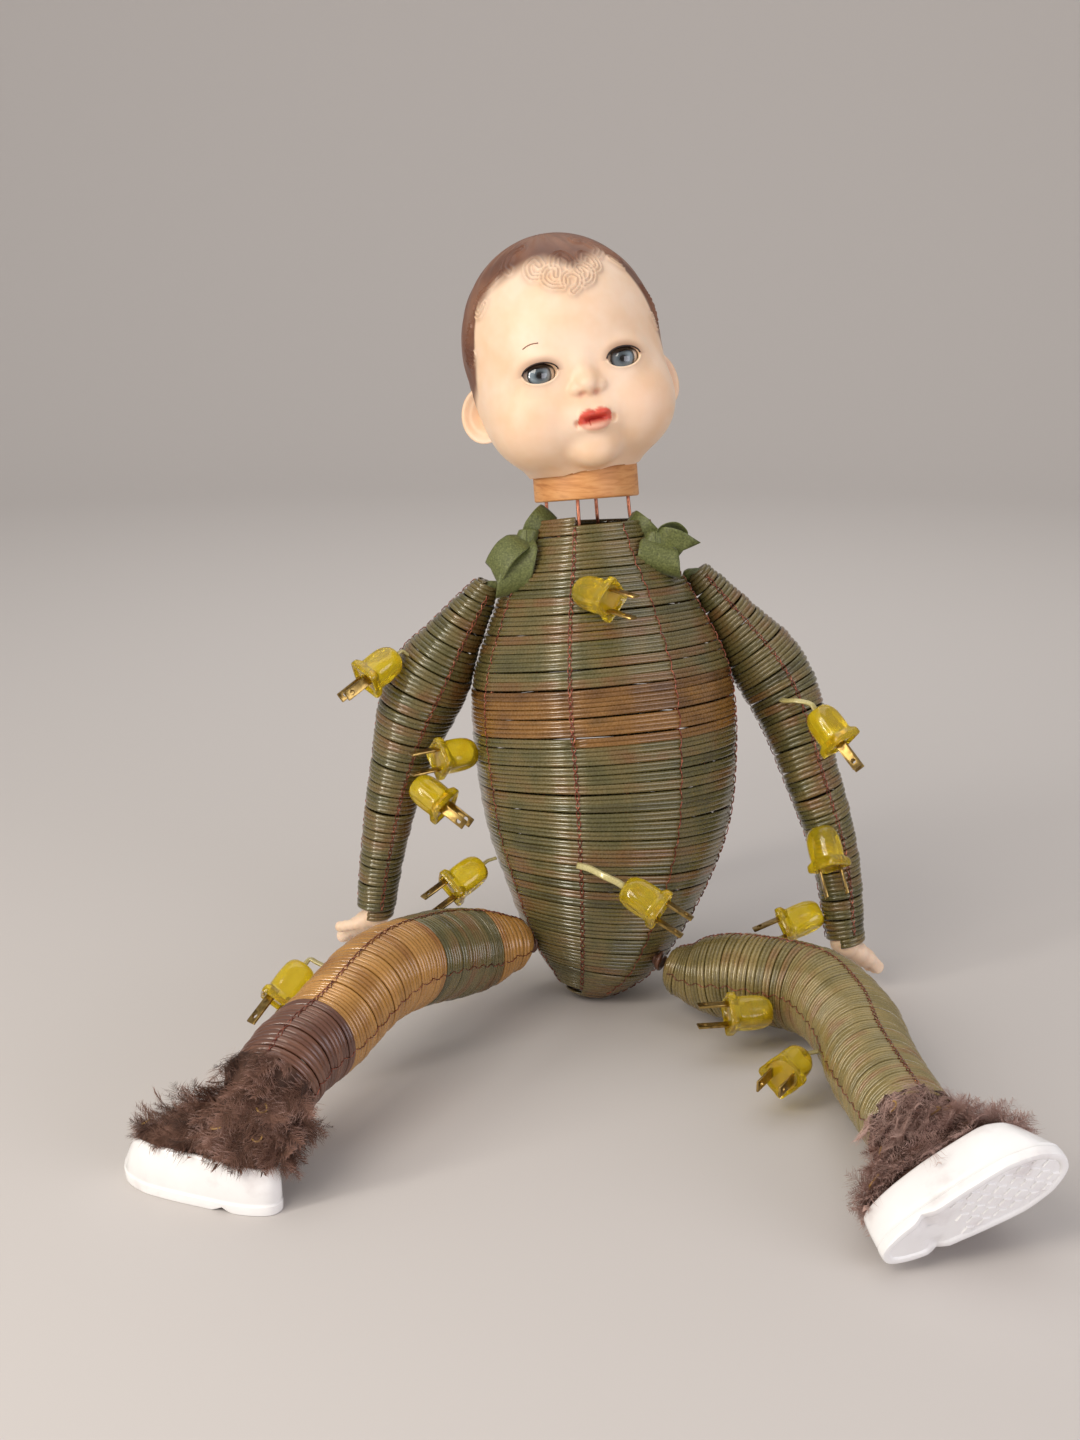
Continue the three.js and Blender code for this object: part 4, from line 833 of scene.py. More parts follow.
# the ball's upper part is painted near-black: lashes, and painted shadow of the upper lid
for mask, paint in (("lashesAndLidShadow", "#140d0a"), ("lidSkin", "#e9b893")):
    amount = addNode(eyeGlass, "ShaderNodeAttribute", attribute_name=mask)
    colour = addNode(eyeGlass, "ShaderNodeMix", {0: amount.outputs["Fac"], 6: colour, 7: hexColour(paint)},
                     data_type="RGBA").outputs[2]
linkTo(eyeGlass, colour, eyeShader, "Base Color")
for side, sign in (("right", -1), ("left", 1)):
    eye = newPiece(bpy.ops.mesh.primitive_uv_sphere_add, segments=64, ring_count=48,
                   radius=face["eyeRadius"] * mm)
    eye.name = eye.data.name = "glassEye_" + side
    bpy.ops.object.shade_smooth()
    flat = np.array([corner.co for corner in eye.data.vertices]) / mm
    gaze = unit((-0.03, -1, -0.06))
    paintMask(eye, "gazeAway", np.arccos(np.clip(unit(flat) @ gaze, -1, 1)) * face["eyeRadius"])
    # upper part of the ball: lashes, and painted shadow cast by the upper lid
    paintMask(eye, "lashesAndLidShadow", np.clip((flat[:, 2] - 1.7) / 1.8, 0, 1))
    paintMask(eye, "lidSkin", np.clip((flat[:, 2] - 6.4) / 0.5, 0, 1))
    spot = Vector((sign * face["eyeX"], face["eyeY"], face["eyeZ"])) * mm
    placeMesh(eye, headPlace @ Matrix.Translation(spot))
    finishPiece(eye, eyeGlass, "eyes", "eye_" + side)
    # lash line along the upper lid, then the soft moulded edge of the lower lid
    for name, ends, grow, sink, radius, sides, material in (
            ("lashLine_", (0.96, 0.04), 0.1, -0.1, 0.5, 6, lashPaint),
            ("lidEdge_", (1.02, 1.98), 0.0, 0.5, 0.75, 8, vinylSkin)):
        arc = np.linspace(math.pi * ends[0], math.pi * ends[1], 25)
        stroke = np.stack([sign * face["eyeX"] + (face["openWide"] + grow) * np.cos(arc), np.zeros(25),
                           face["eyeZ"] + (face["openTall"] + grow) * np.sin(arc)], axis=-1)
        stroke[:, 1] = [onFace(x, z)[1] + sink for x, _, z in stroke]
        faceStroke(name + side, fromHead(stroke), radius, sides, material)
brassTones = [(0.35, "#8d7444"), (0.55, "#b79a5c"), (0.72, "#6f5a35")]  # dull yellow shine, 4.5 mm patches
brass = mottledMaterial("stampedBrass", 220.0, 3.0, brassTones, Metallic=1.0, Roughness=0.28)[0]
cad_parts["eye_weight_bar"].data.materials.clear()
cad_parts["eye_weight_bar"].data.materials.append(brass)
print("head, eyes and face paint made")

# Arms and legs wound like the body
plainBody = Form(axisPoints, (0, -1, 0), outline)


def flankAt(height, sign):
    run = plainBody.runAt(height / math.cos(math.radians(basket["lean"])))
    return float(plainBody.surface(run, sign * math.pi / 2)[0])


def stitchLimb(name, form, pitch, rows, ways, loose=None):
    runs = [stitchLine(form, pitch, 1.2, rows - 0.2, limbAngle, math.radians(angle), 1.1, way, loose)
            for angle, way in ways]
    stitches = joinPieces(name + "_stitching",
                          [loftRings("stitch", tubeRings(run, 0.3, 5)) for run in runs])
    faceOut(stitches)
    finishPiece(stitches, stitchWire, name)


limbs = {
    "arm_right": {"pivot": (-61.55, 34.03, 254.48), "shares": (0.7446, 0.5363, 0.3202, 0.1434),
                  "backs": (2, 6, 10, 14), "outs": (28.8, 51, 75, 98), "widest": 26, "sign": -1, "rows": 38,
                  "hand": (-0.6, 0.5, -0.55)},
    "arm_left": {"pivot": (70.46, 34.03, 262.45), "shares": (0.7485, 0.5466, 0.3561, 0.1313),
                 "backs": (-8, -22, -28, -35), "outs": (29.4, 46.5, 73, 113), "widest": 23.2, "sign": 1,
                 "rows": 42, "hand": (0.6, 0.5, -0.58)},
}
legs = {
    "leg_right": {"aim": (-0.75, -0.629, 0.203), "pivot": (-49.86, -30.1, 45.91),
                  "route": [(-72, -47, 48), (-97, -92, 60), (-119, -140, 67), (-141, -190, 58),
                            (-155, -224, 56), (-164, -246, 48)],
                  "bands": (("thigh_gold", 0.0, 0.147, goldPvc), ("thigh_olive", 0.147, 0.441, olivePvc),
                            ("shin_gold", 0.441, 0.8235, goldPvc), ("shin_brown", 0.8235, 1.0, brownPvc)),
                  "rows": 44},
    "leg_left": {"aim": (0.882, -0.426, -0.203), "pivot": (64.44, -33.17, 28.75),
                 "route": [(98, -52, 33), (134, -78, 34), (149, -120, 31), (151, -174, 30), (155, -240, 34),
                           (157, -266, 36)],
                 "bands": (("thigh_olive", 0.0, 0.426, litOlivePvc), ("shin_olive", 0.426, 1.0, litOlivePvc)),
                 "rows": 53},
}
limbAngle = 0.4  # where a limb's first row starts
legLoose = 0.2  # leg rows lie closer than the body's
hipBall = 17.7  # the round leg end starts this far behind the hip's pivot
forms = {"body": bodyForm}
for name, limb in limbs.items():
    pivot = np.array(limb["pivot"])
    line = []
    for share, back, out in zip(limb["shares"], limb["backs"], limb["outs"]):
        height = share * pivot[2]
        line.append((flankAt(height, limb["sign"]) + limb["sign"] * out, pivot[1] + back, height))
    toArm = unit(np.array(line[0]) - pivot)
    line = [tuple(pivot - 5 * toArm), tuple(pivot)] + line  # the rows close over the tie
    widest = limb["widest"]
    armOutline = [(0, 1.5), (1.2, 5), (5, 9), (41, 0.68 * widest), (77, widest), (145, 17.6)]
    form = Form(line, (0, -1, 0), lambda length, upper=armOutline: upper + [(length, 12)])
    forms[name] = form
    pitch = form.span / (limb["rows"] + 1)
    winding = windCord(name + "_rows", form, pitch, 0, limb["rows"], 32, limbAngle)
    finishPiece(winding, olivePvc, name, "arm_winding_" + name[4:])
    stitchLimb(name, form, pitch, limb["rows"], ((-20, 1), (-20, -1), (100, 1), (220, 1)))
for name, limb in legs.items():
    aim = unit(limb["aim"])
    pivot = np.array(limb["pivot"])
    line = [tuple(pivot - hipBall * aim), tuple(pivot)] + limb["route"]
    form = Form(line, (0, 0, 1), lambda length: [(0, 3.27), (3.91, 11.57), (9.25, 15.89), (15.82, 17.9),
                                                 (46, 26), (length / 2, 26), (length, 23)])
    forms[name] = form
    pitch = form.span / (limb["rows"] + 1)
    for band, fromShare, toShare, material in limb["bands"]:
        winding = windCord(name + "_" + band + "_rows", form, pitch, fromShare * limb["rows"],
                           toShare * limb["rows"], 40, limbAngle, legLoose)
        finishPiece(winding, material, name, name + "_" + band)
    stitchLimb(name, form, pitch, limb["rows"], ((-5, 1), (-5, -1), (85, 1), (175, 1), (265, 1)), legLoose)
print("arms and legs wound")

# Hands: soft peach vinyl mitts with fingers
handSize = {"fingers": ((-7.5, 30), (-2.6, 33), (2.4, 33), (7.2, 30)), "fingerRadius": 3.4}
for name, limb in limbs.items():
    form = forms[name]
    end = form.line[-1]
    way = unit(limb["hand"])
    across = unit(np.cross(way, (0, 0, 1)))
    thick = np.cross(across, way)
    balls = []
    spots = [(0, -2, 0, 9.5, 8), (0, 8, 0, 11.5, 7), (0, 17, 0, 11.5, 6.5)]
    for side, reach in handSize["fingers"]:
        spots += [(side, 20 + k * (reach - 20) / 3, -0.4 * k, handSize["fingerRadius"], 4.2)
                  for k in range(4)]
    spots += [(-9 - 1.6 * k, 9 + 3.6 * k, 1.2 * k, 3.6, 3.8) for k in range(4)]
    turn = Matrix(np.column_stack([across, way, thick]).tolist()).to_4x4()
    for side, reach, height, wide, deep in spots:
        centre = Vector((end + across * side + way * reach + thick * height) * mm)
        ball = newPiece(bpy.ops.mesh.primitive_uv_sphere_add, segments=20, ring_count=14, radius=mm)
        placeMesh(ball, Matrix.Translation(centre) @ turn @ Matrix.Diagonal((wide, wide, deep, 1)))
        balls.append(ball)
    hand = joinPieces("vinylHand_" + name[4:], balls)
    applyModifier(hand, "REMESH", mode="VOXEL", voxel_size=0.7 * mm)
    applyModifier(hand, "SMOOTH", factor=0.5, iterations=6)
    bpy.ops.object.shade_smooth()
    for mask in ("hairPaint", "lipPaint", "mouthLine", "lidPaintAndShade", "blushPaint"):
        paintMask(hand, mask, np.zeros(len(hand.data.vertices)))
    finishPiece(hand, vinylSkin, name, "hand_" + name[4:])
print("hands made")


# Lamp plugs: one moulded shell and one pair of blades, copied to each place
def nodePoints(name):
    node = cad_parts[name]
    flat = np.empty(len(node.data.vertices) * 3)
    node.data.vertices.foreach_get("co", flat)
    turn = np.array(node.matrix_world)
    return np.unique(np.round(flat.reshape(-1, 3) @ turn[:3, :3].T + turn[:3, 3], 6), axis=0) / mm


plugAims = {
    "chest": ((0.72, -0.65, -0.12), (0, 0, 1), "torso"), "side": ((-0.85, -0.5, -0.05), (0, 0, 1), "torso"),
    "flank": ((-0.75, -0.45, -0.45), (0, 0, 1), "torso"), "belly": ((0.8, -0.3, -0.45), (0, 0, 1), "torso"),
    "arm_right_upper": ((-0.72, -0.5, -0.5), (0, 1, 0), "arm_right"),
    "arm_right_elbow": ((0.75, -0.35, -0.5), (0, 1, 0), "arm_right"),
    "arm_left_upper": ((0.55, -0.45, -0.7), (0, 1, 0), "arm_left"),
    "arm_left_lower": ((0.2, -0.5, -0.84), (1, 0, 0), "arm_left"),
    "arm_left_wrist": ((-0.85, -0.1, -0.35), (0, 0, 1), "arm_left"),
    "knee": ((-0.97, -0.15, 0), (0, 0, 1), "leg_left"),
    "shin": ((-0.5, -0.86, -0.04), (1, 0, 0), "leg_left"),
    "leg_right": ((-0.55, -0.55, -0.63), (0, 0, 1), "leg_right"),
}
plugSize = {"back": 4.2, "rise": ((6.0, 0.3), (7.3, 1.3), (8.5, 3.0), (9.3, 5.2), (9.7, 8.0), (9.9, 11.0),
                                  (10.0, 14.0), (9.9, 17.0), (9.8, 19.4), (9.9, 20.4), (10.4, 21.3),
                                  (10.9, 22.4), (11.1, 24.0), (11.1, 25.4), (10.8, 26.3)),
            "mouth": ((10.4, 26.5), (9.6, 26.1), (9.0, 25.0), (8.8, 23.2)), "flutes": 0.7, "corners": 1.9,
            "edges": 0.55}
plugShell = newPiece(bpy.ops.mesh.primitive_circle_add, vertices=64, radius=plugSize["back"] * mm,
                     fill_type="NGON")
bpy.ops.object.mode_set(mode="EDIT")
bpy.ops.mesh.select_all(action="SELECT")
lastRadius, lastHeight = plugSize["back"], 0.0
for radius, height in plugSize["rise"] + plugSize["mouth"]:
    bpy.ops.mesh.extrude_region_move(TRANSFORM_OT_translate={"value": (0, 0, (height - lastHeight) * mm)})
    bpy.ops.transform.resize(value=(radius / lastRadius, radius / lastRadius, 1))
    lastRadius, lastHeight = radius, height
bpy.ops.mesh.select_all(action="SELECT")
bpy.ops.mesh.normals_make_consistent(inside=False)
bpy.ops.object.mode_set(mode="OBJECT")
for corner in plugShell.data.vertices:  # thumb hollows in the grip, four pointed corners on the flange
    height = corner.co.z / mm
    square = math.cos(4 * math.atan2(corner.co.y, corner.co.x))
    hollow = math.exp(-((height - 11) / 5.5) ** 2) * plugSize["flutes"] * max(0.0, -square) ** 1.5
    flange = max(0.0, min(1.0, (height - 20) / 2)) * plugSize["corners"] * max(0.0, square) ** 2
    flange += max(0.0, min(1.0, (height - 3) / 5)) * plugSize["edges"] * square
    radius = math.hypot(corner.co.x, corner.co.y) / mm
    if radius > 9.3 or height < 18:
        grow = 1 + (flange - hollow) / max(radius, 3)
        corner.co.x *= grow
        corner.co.y *= grow
bpy.ops.object.shade_smooth()
lemonTones = [(0.3, "#f2d01c"), (0.55, "#fbe22a"), (0.75, "#e8c414")]  # clear lemon cast, 8 mm clouds
amberShell = mottledMaterial("clearAmberPlastic", 120.0, 3.0, lemonTones, Roughness=0.16, IOR=1.49,
                             Transmission_Weight=0.75, Coat_Weight=0.4, Coat_Roughness=0.06)[0]

bladeSize = {"apart": 6.35, "thick": 1.5, "wide": 6.35, "hole": 1.6, "holeFromTip": 4.6, "root": 21}
bladeSet = []
bladeReach = 0.0
for name, (aim, _, _) in plugAims.items():
    tips = nodePoints("plug_" + name + "_blades") @ unit(aim)
    backs = nodePoints("plug_" + name + "_shell") @ unit(aim)
    bladeReach = max(bladeReach, float(tips.max() - backs.min()))
for side in (-1, 1):
    blade = newPiece(bpy.ops.mesh.primitive_cube_add, size=1)
    length = bladeReach - bladeSize["root"]
    middle = Vector((side * bladeSize["apart"], 0, bladeSize["root"] + length / 2)) * mm
    placeMesh(blade, Matrix.Translation(middle)
              @ Matrix.Diagonal((bladeSize["thick"] * mm, bladeSize["wide"] * mm, length * mm, 1)))
    tip = Vector((side * bladeSize["apart"], 0, bladeReach - bladeSize["holeFromTip"])) * mm
    drill = newPiece(bpy.ops.mesh.primitive_cylinder_add, vertices=32, radius=bladeSize["hole"] * mm,
                     depth=8 * mm, location=tip, rotation=(0, math.pi / 2, 0))
    applyModifier(blade, "BEVEL", width=0.55 * mm, segments=2, limit_method="ANGLE")
    applyModifier(blade, "BOOLEAN", operation="DIFFERENCE", solver="EXACT", object=drill)
    bpy.data.objects.remove(drill)
    bladeSet.append(blade)
insert = newPiece(bpy.ops.mesh.primitive_cylinder_add, vertices=48, radius=9.0 * mm, depth=1.6 * mm,
                  location=(0, 0, 24.4 * mm))
applyModifier(insert, "BEVEL", width=0.3 * mm, segments=2, limit_method="ANGLE")
plugShell = joinPieces("plugShell", [plugShell, insert])  # the moulded front face
bpy.ops.object.shade_smooth_by_angle(angle=math.radians(50))
blades = joinPieces("plugBlades", bladeSet)
bpy.ops.object.shade_smooth_by_angle(angle=math.radians(30))

plugBacks = {}
for name, (aim, side, body) in plugAims.items():
    aim = unit(aim)
    points = nodePoints("plug_" + name + "_shell")
    reach = points @ aim
    back = points[reach < reach.min() + 0.2].mean(axis=0)
    plugBacks[name] = back
    across = unit(np.array(side, float) - aim * np.dot(side, aim))
    turn = Matrix(np.column_stack([across, np.cross(aim, across), aim]).tolist()).to_4x4()
    spot = Matrix.Translation(Vector(back * mm)) @ turn
    shell = copyPiece(plugShell, "plugShell_" + name, spot)
    finishPiece(shell, amberShell, body, "plug_" + name + "_shell")
    pair = copyPiece(blades, "plugBlades_" + name, spot)
    finishPiece(pair, brass, body, "plug_" + name + "_blades")
    if "plug_" + name in freeCordPieces:
        cordPiece, line, length = freeCordPieces["plug_" + name]
bpy.data.objects.remove(plugShell)
bpy.data.objects.remove(blades)
print("plugs copied:", len(plugAims))

# Short cord stubs from the rows into a plug's back
stubs = {"flank": "torso", "arm_right_upper": "arm_right", "shin": "leg_left", "leg_right": "leg_right"}
for name, body in stubs.items():
    aim = unit(plugAims[name][0])
    tail = nodePoints("plug_" + name + "_tail")
    foot = tail[np.argsort(np.linalg.norm(tail - plugBacks[name], axis=1))[-6:]].mean(axis=0)
    bend = plugBacks[name] - 4.5 * aim
    line = throughPoints([foot, foot + 0.6 * (bend - foot), bend, plugBacks[name] + 2.0 * aim], 8)
    piece = loftRings("plugTail_" + name, flatCordRings(line, np.array((0.0, 0.2, 1.0)), cordSize),
                      np.linspace(0, 1, len(line)))
    faceOut(piece)
    finishPiece(piece, palePvc, body, "plug_" + name + "_tail")

# Shoulder bows: green satin ribbon with a soft shine, loops and cut ends from one knot
# weave drawn at 1.1 mm so that it shows
satinTones = [(0.3, "#4a4f26"), (0.55, "#636a38"), (0.75, "#787e4a")]
satin, satinShader, weave = mottledMaterial("wovenSatinRibbon", 900.0, 2.0, satinTones, Roughness=0.5,
                                            Sheen_Weight=0.15, Sheen_Roughness=0.4)
bump = addNode(satin, "ShaderNodeBump", {"Strength": 0.15, "Distance": 0.0002, "Height": weave})
linkTo(satin, bump.outputs[0], satinShader, "Normal")


def ribbonStrip(name, middle, widths, sideways, cut=0.0):
    middle = throughPoints(middle, 7)
    share = np.linspace(0, 1, len(middle))
    wide = np.interp(share, np.linspace(0, 1, len(widths)), widths)
    along = unit(np.gradient(middle, axis=0))
    side = unit(np.array(sideways, float) - along * (along @ np.array(sideways, float))[:, None])
    across = np.linspace(-0.5, 0.5, 13)
    crown = np.cross(along, side)
    pleat = 0.4 * (1 - 4 * across ** 2)
    points = (middle[:, None, :] + side[:, None, :] * (across[None, :, None] * wide[:, None, None])
              + crown[:, None, :] * pleat[None, :, None] * (wide / max(wide))[:, None, None])
    points[-1] += np.outer(cut * across, along[-1])
    count, sides = points.shape[:2]
    faces = [[r * sides + c, r * sides + c + 1, (r + 1) * sides + c + 1, (r + 1) * sides + c]
             for r in range(count - 1) for c in range(sides - 1)]
    strip = meshPiece(name, points.reshape(-1, 3), faces)
    applyModifier(strip, "SOLIDIFY", thickness=0.3 * mm, offset=0)
    return strip, float(np.sum(np.linalg.norm(np.diff(middle, axis=0), axis=1)
                               * (wide[1:] + wide[:-1]) / 2))


# each strip: line from the knot, widths, way across; along, up and out of the shoulder
bowAxes = np.array(((1, 0, 0), (0, 0.24, 0.97), (0, -0.97, 0.24)))
bows = {
    "right": {"height": 291, "angle": -62, "strips": (
        ([(0, -2, 4), (-2, -7, 10), (-5, -18, 13), (-8, -29, 11), (-9.5, -34, 5), (-8.5, -31, -1),
          (-5, -20, -3), (-2, -8, -1), (0, -2, 1)], [9, 18, 19, 19, 19, 19, 19, 16, 9], (0.95, 0.3, 0.05),
         0),
        ([(-1, -1, 5), (-6, -4, 12), (-12, -9, 14), (-17, -16, 12), (-20, -22, 8)], [9, 17, 18, 18, 18],
         (0.62, -0.6, 0.5), 8),
        ([(0, 0, 2), (4, 6, 3), (9, 12, 1), (13, 16, -5), (14, 17, -11)], [8, 12, 13, 13, 12],
         (-0.75, 0.6, 0.25), 0))},
    "left": {"height": 284, "angle": 58, "strips": (
        ([(0, 0, 2), (0, -3, 8), (1, -9, 12), (2, -16, 11), (3, -20, 6), (3, -19, 0), (2, -12, -2),
          (0, -2, -2)],
         [9, 19, 24, 25, 25, 25, 20, 10], (0.96, -0.27, 0.05), 0),
        ([(0, 0, 4), (6, 0, 9), (12, -2, 10), (19, -6, 8)], [8, 14, 15, 15], (0.25, 0.85, 0.45), 9),
        ([(0, 1, 2), (5, 6, 4), (12, 7, 3), (17, 3, 1), (13, 1, 0), (5, 0, 0)], [9, 13, 14, 14, 13, 9],
         (0, 0.35, 0.94), 0),
        ([(0, 0, 0), (-8, 7, 0), (-14, 12, -5), (-16, 13, -12)], [12, 14, 14, 12], (0.6, 0.7, 0.3), 0))},
}
for side, bow in bows.items():
    run = bodyForm.runAt(bow["height"])
    angle = math.radians(bow["angle"])
    out = bodyForm.outward(run, angle)
    knot = bodyForm.surface(run, angle) + 3 * out
    strips = []
    for middle, widths, sideways, cut in bow["strips"]:
        strip, cloth = ribbonStrip("leaf", np.array(middle) @ bowAxes + knot, widths,
                                   np.array(sideways) @ bowAxes, cut)
        strips.append(strip)
    ring = fullTurn * np.linspace(0, 1, 13)
    band = [knot + 3 * bowAxes[2] + 4.6 * np.cos(a) * bowAxes[2] + 6.0 * np.sin(a) * bowAxes[0]
            for a in ring]
    strip, cloth = ribbonStrip("knotBand", band, [9, 8, 9], bowAxes[1] + 0.3 * bowAxes[0])
    strips.append(strip)
    piece = joinPieces("satinBow_" + side, strips)
    finishPiece(piece, satin, "torso", "shoulder_bow_" + side)

# Ribbon ties in the shoulders and cord ties in the hips
for side in ("right", "left"):
    tie = nodePoints("shoulder_knot_" + side)
    centre = (tie.max(axis=0) + tie.min(axis=0)) / 2
    half = (tie.max(axis=0) - tie.min(axis=0)) / 2
    reach = np.linspace(-1, 1, 25)
    wide = np.interp(np.abs(reach), (0, 0.55, 0.9, 1.0), (1.0, 0.9, 0.6, 0.1))
    turnAngle = fullTurn * np.arange(32) / 32
    rings = []
    for x, w in zip(reach, wide):
        girth = w * (1 + 0.06 * np.cos(7 * turnAngle + 3 * x))  # seven soft pleats
        rings.append(np.stack([np.full(32, centre[0] + half[0] * x),
                               centre[1] + half[1] * girth * np.cos(turnAngle),
                               centre[2] + half[2] * girth * np.sin(turnAngle)], axis=-1))
    knotPiece = loftRings("shoulderTie_" + side, np.array(rings))
    faceOut(knotPiece)
    finishPiece(knotPiece, satin, "tie_" + side, "shoulder_knot_" + side)
tieSize = {"room": 2.4, "cord": 1.25, "pitch": 2.6}  # room for the round hip to turn
for side in ("right", "left"):
    limb = legs["leg_" + side]
    aim = unit(limb["aim"])
    tie = nodePoints("hip_tie_" + side)
    reach = (tie - np.array(limb["pivot"])) @ aim
    tieRun = np.linspace(reach.min(), reach.max() - tieSize["room"], 120)
    centreLine = np.array(limb["pivot"]) + np.outer(tieRun, aim)
    radial = np.linalg.norm(tie - np.array(limb["pivot"]) - np.outer(reach, aim), axis=1)
    up = unit(np.array((0, 0, 1.0)) - aim * aim[2])
    across = np.cross(aim, up)
    shares = np.linspace(0, 1, 120)
    size = np.array([radial[np.abs(reach - (reach.min() + s * np.ptp(reach))) < 2.5].max(initial=3.0)
                     for s in shares])
    size = np.maximum(np.convolve(np.pad(size, 6, mode="edge"), np.ones(13) / 13, mode="valid") - 1.0, 2.5)
    spin = fullTurn * shares * np.ptp(reach) / tieSize["pitch"]
    coil = centreLine + up * (size * np.cos(spin))[:, None] + across * (size * np.sin(spin))[:, None]
    corner = fullTurn * np.arange(16) / 16
    core = np.stack([c + s * (np.outer(np.cos(corner), up) + np.outer(np.sin(corner), across))
                     for c, s in zip(centreLine[::4], size[::4])])
    tiePiece = joinPieces("hipTie_" + side, [loftRings("tie", tubeRings(coil, tieSize["cord"], 8)),
                                             loftRings("core", core)])
    faceOut(tiePiece)
    tiePiece.data.uv_layers.new(name="CordRun")
    finishPiece(tiePiece, brownPvc, "torso", "hip_tie_" + side)
print("tails, bows and ties made")

# Shoes: moulded white vinyl with a welt, a low heel block and a diamond tread
shoeSize = {"long": 96.0, "shift": -1.5, "grooveAt": -23.0, "grooveDeep": 2.6, "studs": (8.4, 5.4),
            "toeSlant": 9.0, "wallFrom": 8, "wallTall": 20}
# paintedLightLift: the left shoe's down is painted lighter, as painted light on feathers that face away
# from the lamps
shoes = {"right": {"sole": (-197.5, -250.5, 0), "toe": (-0.86, 0.51, 0), "up": (0, 0, 1), "paintedLightLift": 0.0},
         "left": {"sole": (172.01, -331, 32), "toe": (0.88, 0.12, 0.455), "up": (-0.25, 0.9, 0.36),
                  "paintedLightLift": 0.9}}
outerRows = [(1.0, 11.0), (1.0, 7.0), (1.0, 4.4), (0.3, 3.8), (0.0, 3.2), (0.0, 1.4), (0.3, 0.4),
             (1.2, 0.0), (5.0, 0.0), (5.6, 0.6), (6.6, 0.7), (7.4, 0.3), (18.0, 0.6), (26.2, 1.2),
             (27.4, 1.7), (28.0, 2.6), (27.7, 3.5), (26.4, 4.3), (14.0, 4.6), (7.0, 5.2)]


soleHalf = ((-1, -0.7, -0.2, 0.4, 0.75, 1.0), (13.5, 15, 16.2, 20.6, 20.8, 17.5))


def soleOutline(inset=0.0, count=96):
    t = fullTurn * np.arange(count) / count
    x = np.cos(t)
    half = np.interp(x, *soleHalf)
    y = np.sign(np.sin(t)) * np.abs(np.sin(t)) ** 0.78 * half
    x = np.sign(x) * np.abs(x) ** 0.88 * shoeSize["long"] / 2
    return np.stack([x * (1 - 2 * inset / shoeSize["long"]), y * (1 - inset / half), np.zeros(count)],
                    axis=-1)


def rimScale(x):
    return np.interp(x, (-50, -12, 22, 48), (0.78, 0.95, 0.95, 0.72))


def toeShare(x):
    return np.clip((x - 12) / 36, 0, 1) ** 1.5


shoeRings = np.stack([soleOutline(inset) + np.array((0, 0, height)) for height, inset in outerRows])
tall = shoeRings[..., 2]
groove = shoeSize["grooveDeep"] * np.exp(-((shoeRings[..., 0] - shoeSize["grooveAt"]) / 3.0) ** 2)
shoeRings[..., 0] += shoeSize["shift"] - shoeSize["toeSlant"] * np.clip(
    (tall - shoeSize["wallFrom"]) / shoeSize["wallTall"], 0, 1) * toeShare(shoeRings[..., 0])
wallTops = shoeSize["wallFrom"] + (tall - shoeSize["wallFrom"]) * rimScale(shoeRings[..., 0])
soleTops = tall + groove * np.clip(1 - tall / 5, 0, 1)
shoeRings[..., 2] = np.where(tall > shoeSize["wallFrom"], wallTops, soleTops)
studPoints, studFaces = [], []
for row in range(-1, 6):
    for column in range(-2, 3):
        x = shoeSize["studs"][0] * (row + 0.5 * (column % 2))
        y = shoeSize["studs"][1] * column
        half = float(np.interp(x, (-20, -10, 20, 37, 46), (10, 12, 15.5, 14.5, 8)))
        if abs(y) > half - 1.0 or x > 40 or x < -9:
            continue
        first = len(studPoints)
        for wide, height in ((1.0, 1.3), (0.78, 0.2)):
            for across, over in ((-4.0, 0), (0, -2.6), (4.0, 0), (0, 2.6)):
                studPoints.append((x + wide * across, y + wide * over, height))
        studFaces += [[first + 4, first + 5, first + 6, first + 7],
                      [first + 3, first + 2, first + 1, first]]
        studFaces += [[first + k, first + (k + 1) % 4, first + 4 + (k + 1) % 4, first + 4 + k]
                      for k in range(4)]
whiteTones = [(0.28, "#e6e2e2"), (0.45, "#f6f5f5"), (0.7, "#fafafa")]  # faint grime in 18 mm patches
vinylWhite = mottledMaterial("mouldedWhiteVinyl", 55.0, 5.0, whiteTones, Roughness=0.25, IOR=1.5,
                             Coat_Weight=0.2, Coat_Roughness=0.1)[0]
for side, shoe in shoes.items():
    wall = loftRings("shoeWall", shoeRings)
    studs = meshPiece("studs", np.array(studPoints), studFaces, smooth=False)
    shoePiece = joinPieces("vinylShoe_" + side, [wall, studs])
    faceOut(shoePiece)
    bpy.ops.object.shade_smooth_by_angle(angle=math.radians(40))
    toe, up = unit(shoe["toe"]), np.array(shoe["up"], float)
    up = unit(up - toe * np.dot(up, toe))
    shoe["turn"] = np.column_stack([toe, np.cross(up, toe), up])
    placeMesh(shoePiece, Matrix.Translation(Vector(shoe["sole"]) * mm)
              @ Matrix(shoe["turn"].tolist()).to_4x4())
    finishPiece(shoePiece, vinylWhite, "leg_" + side, "shoe_" + side)

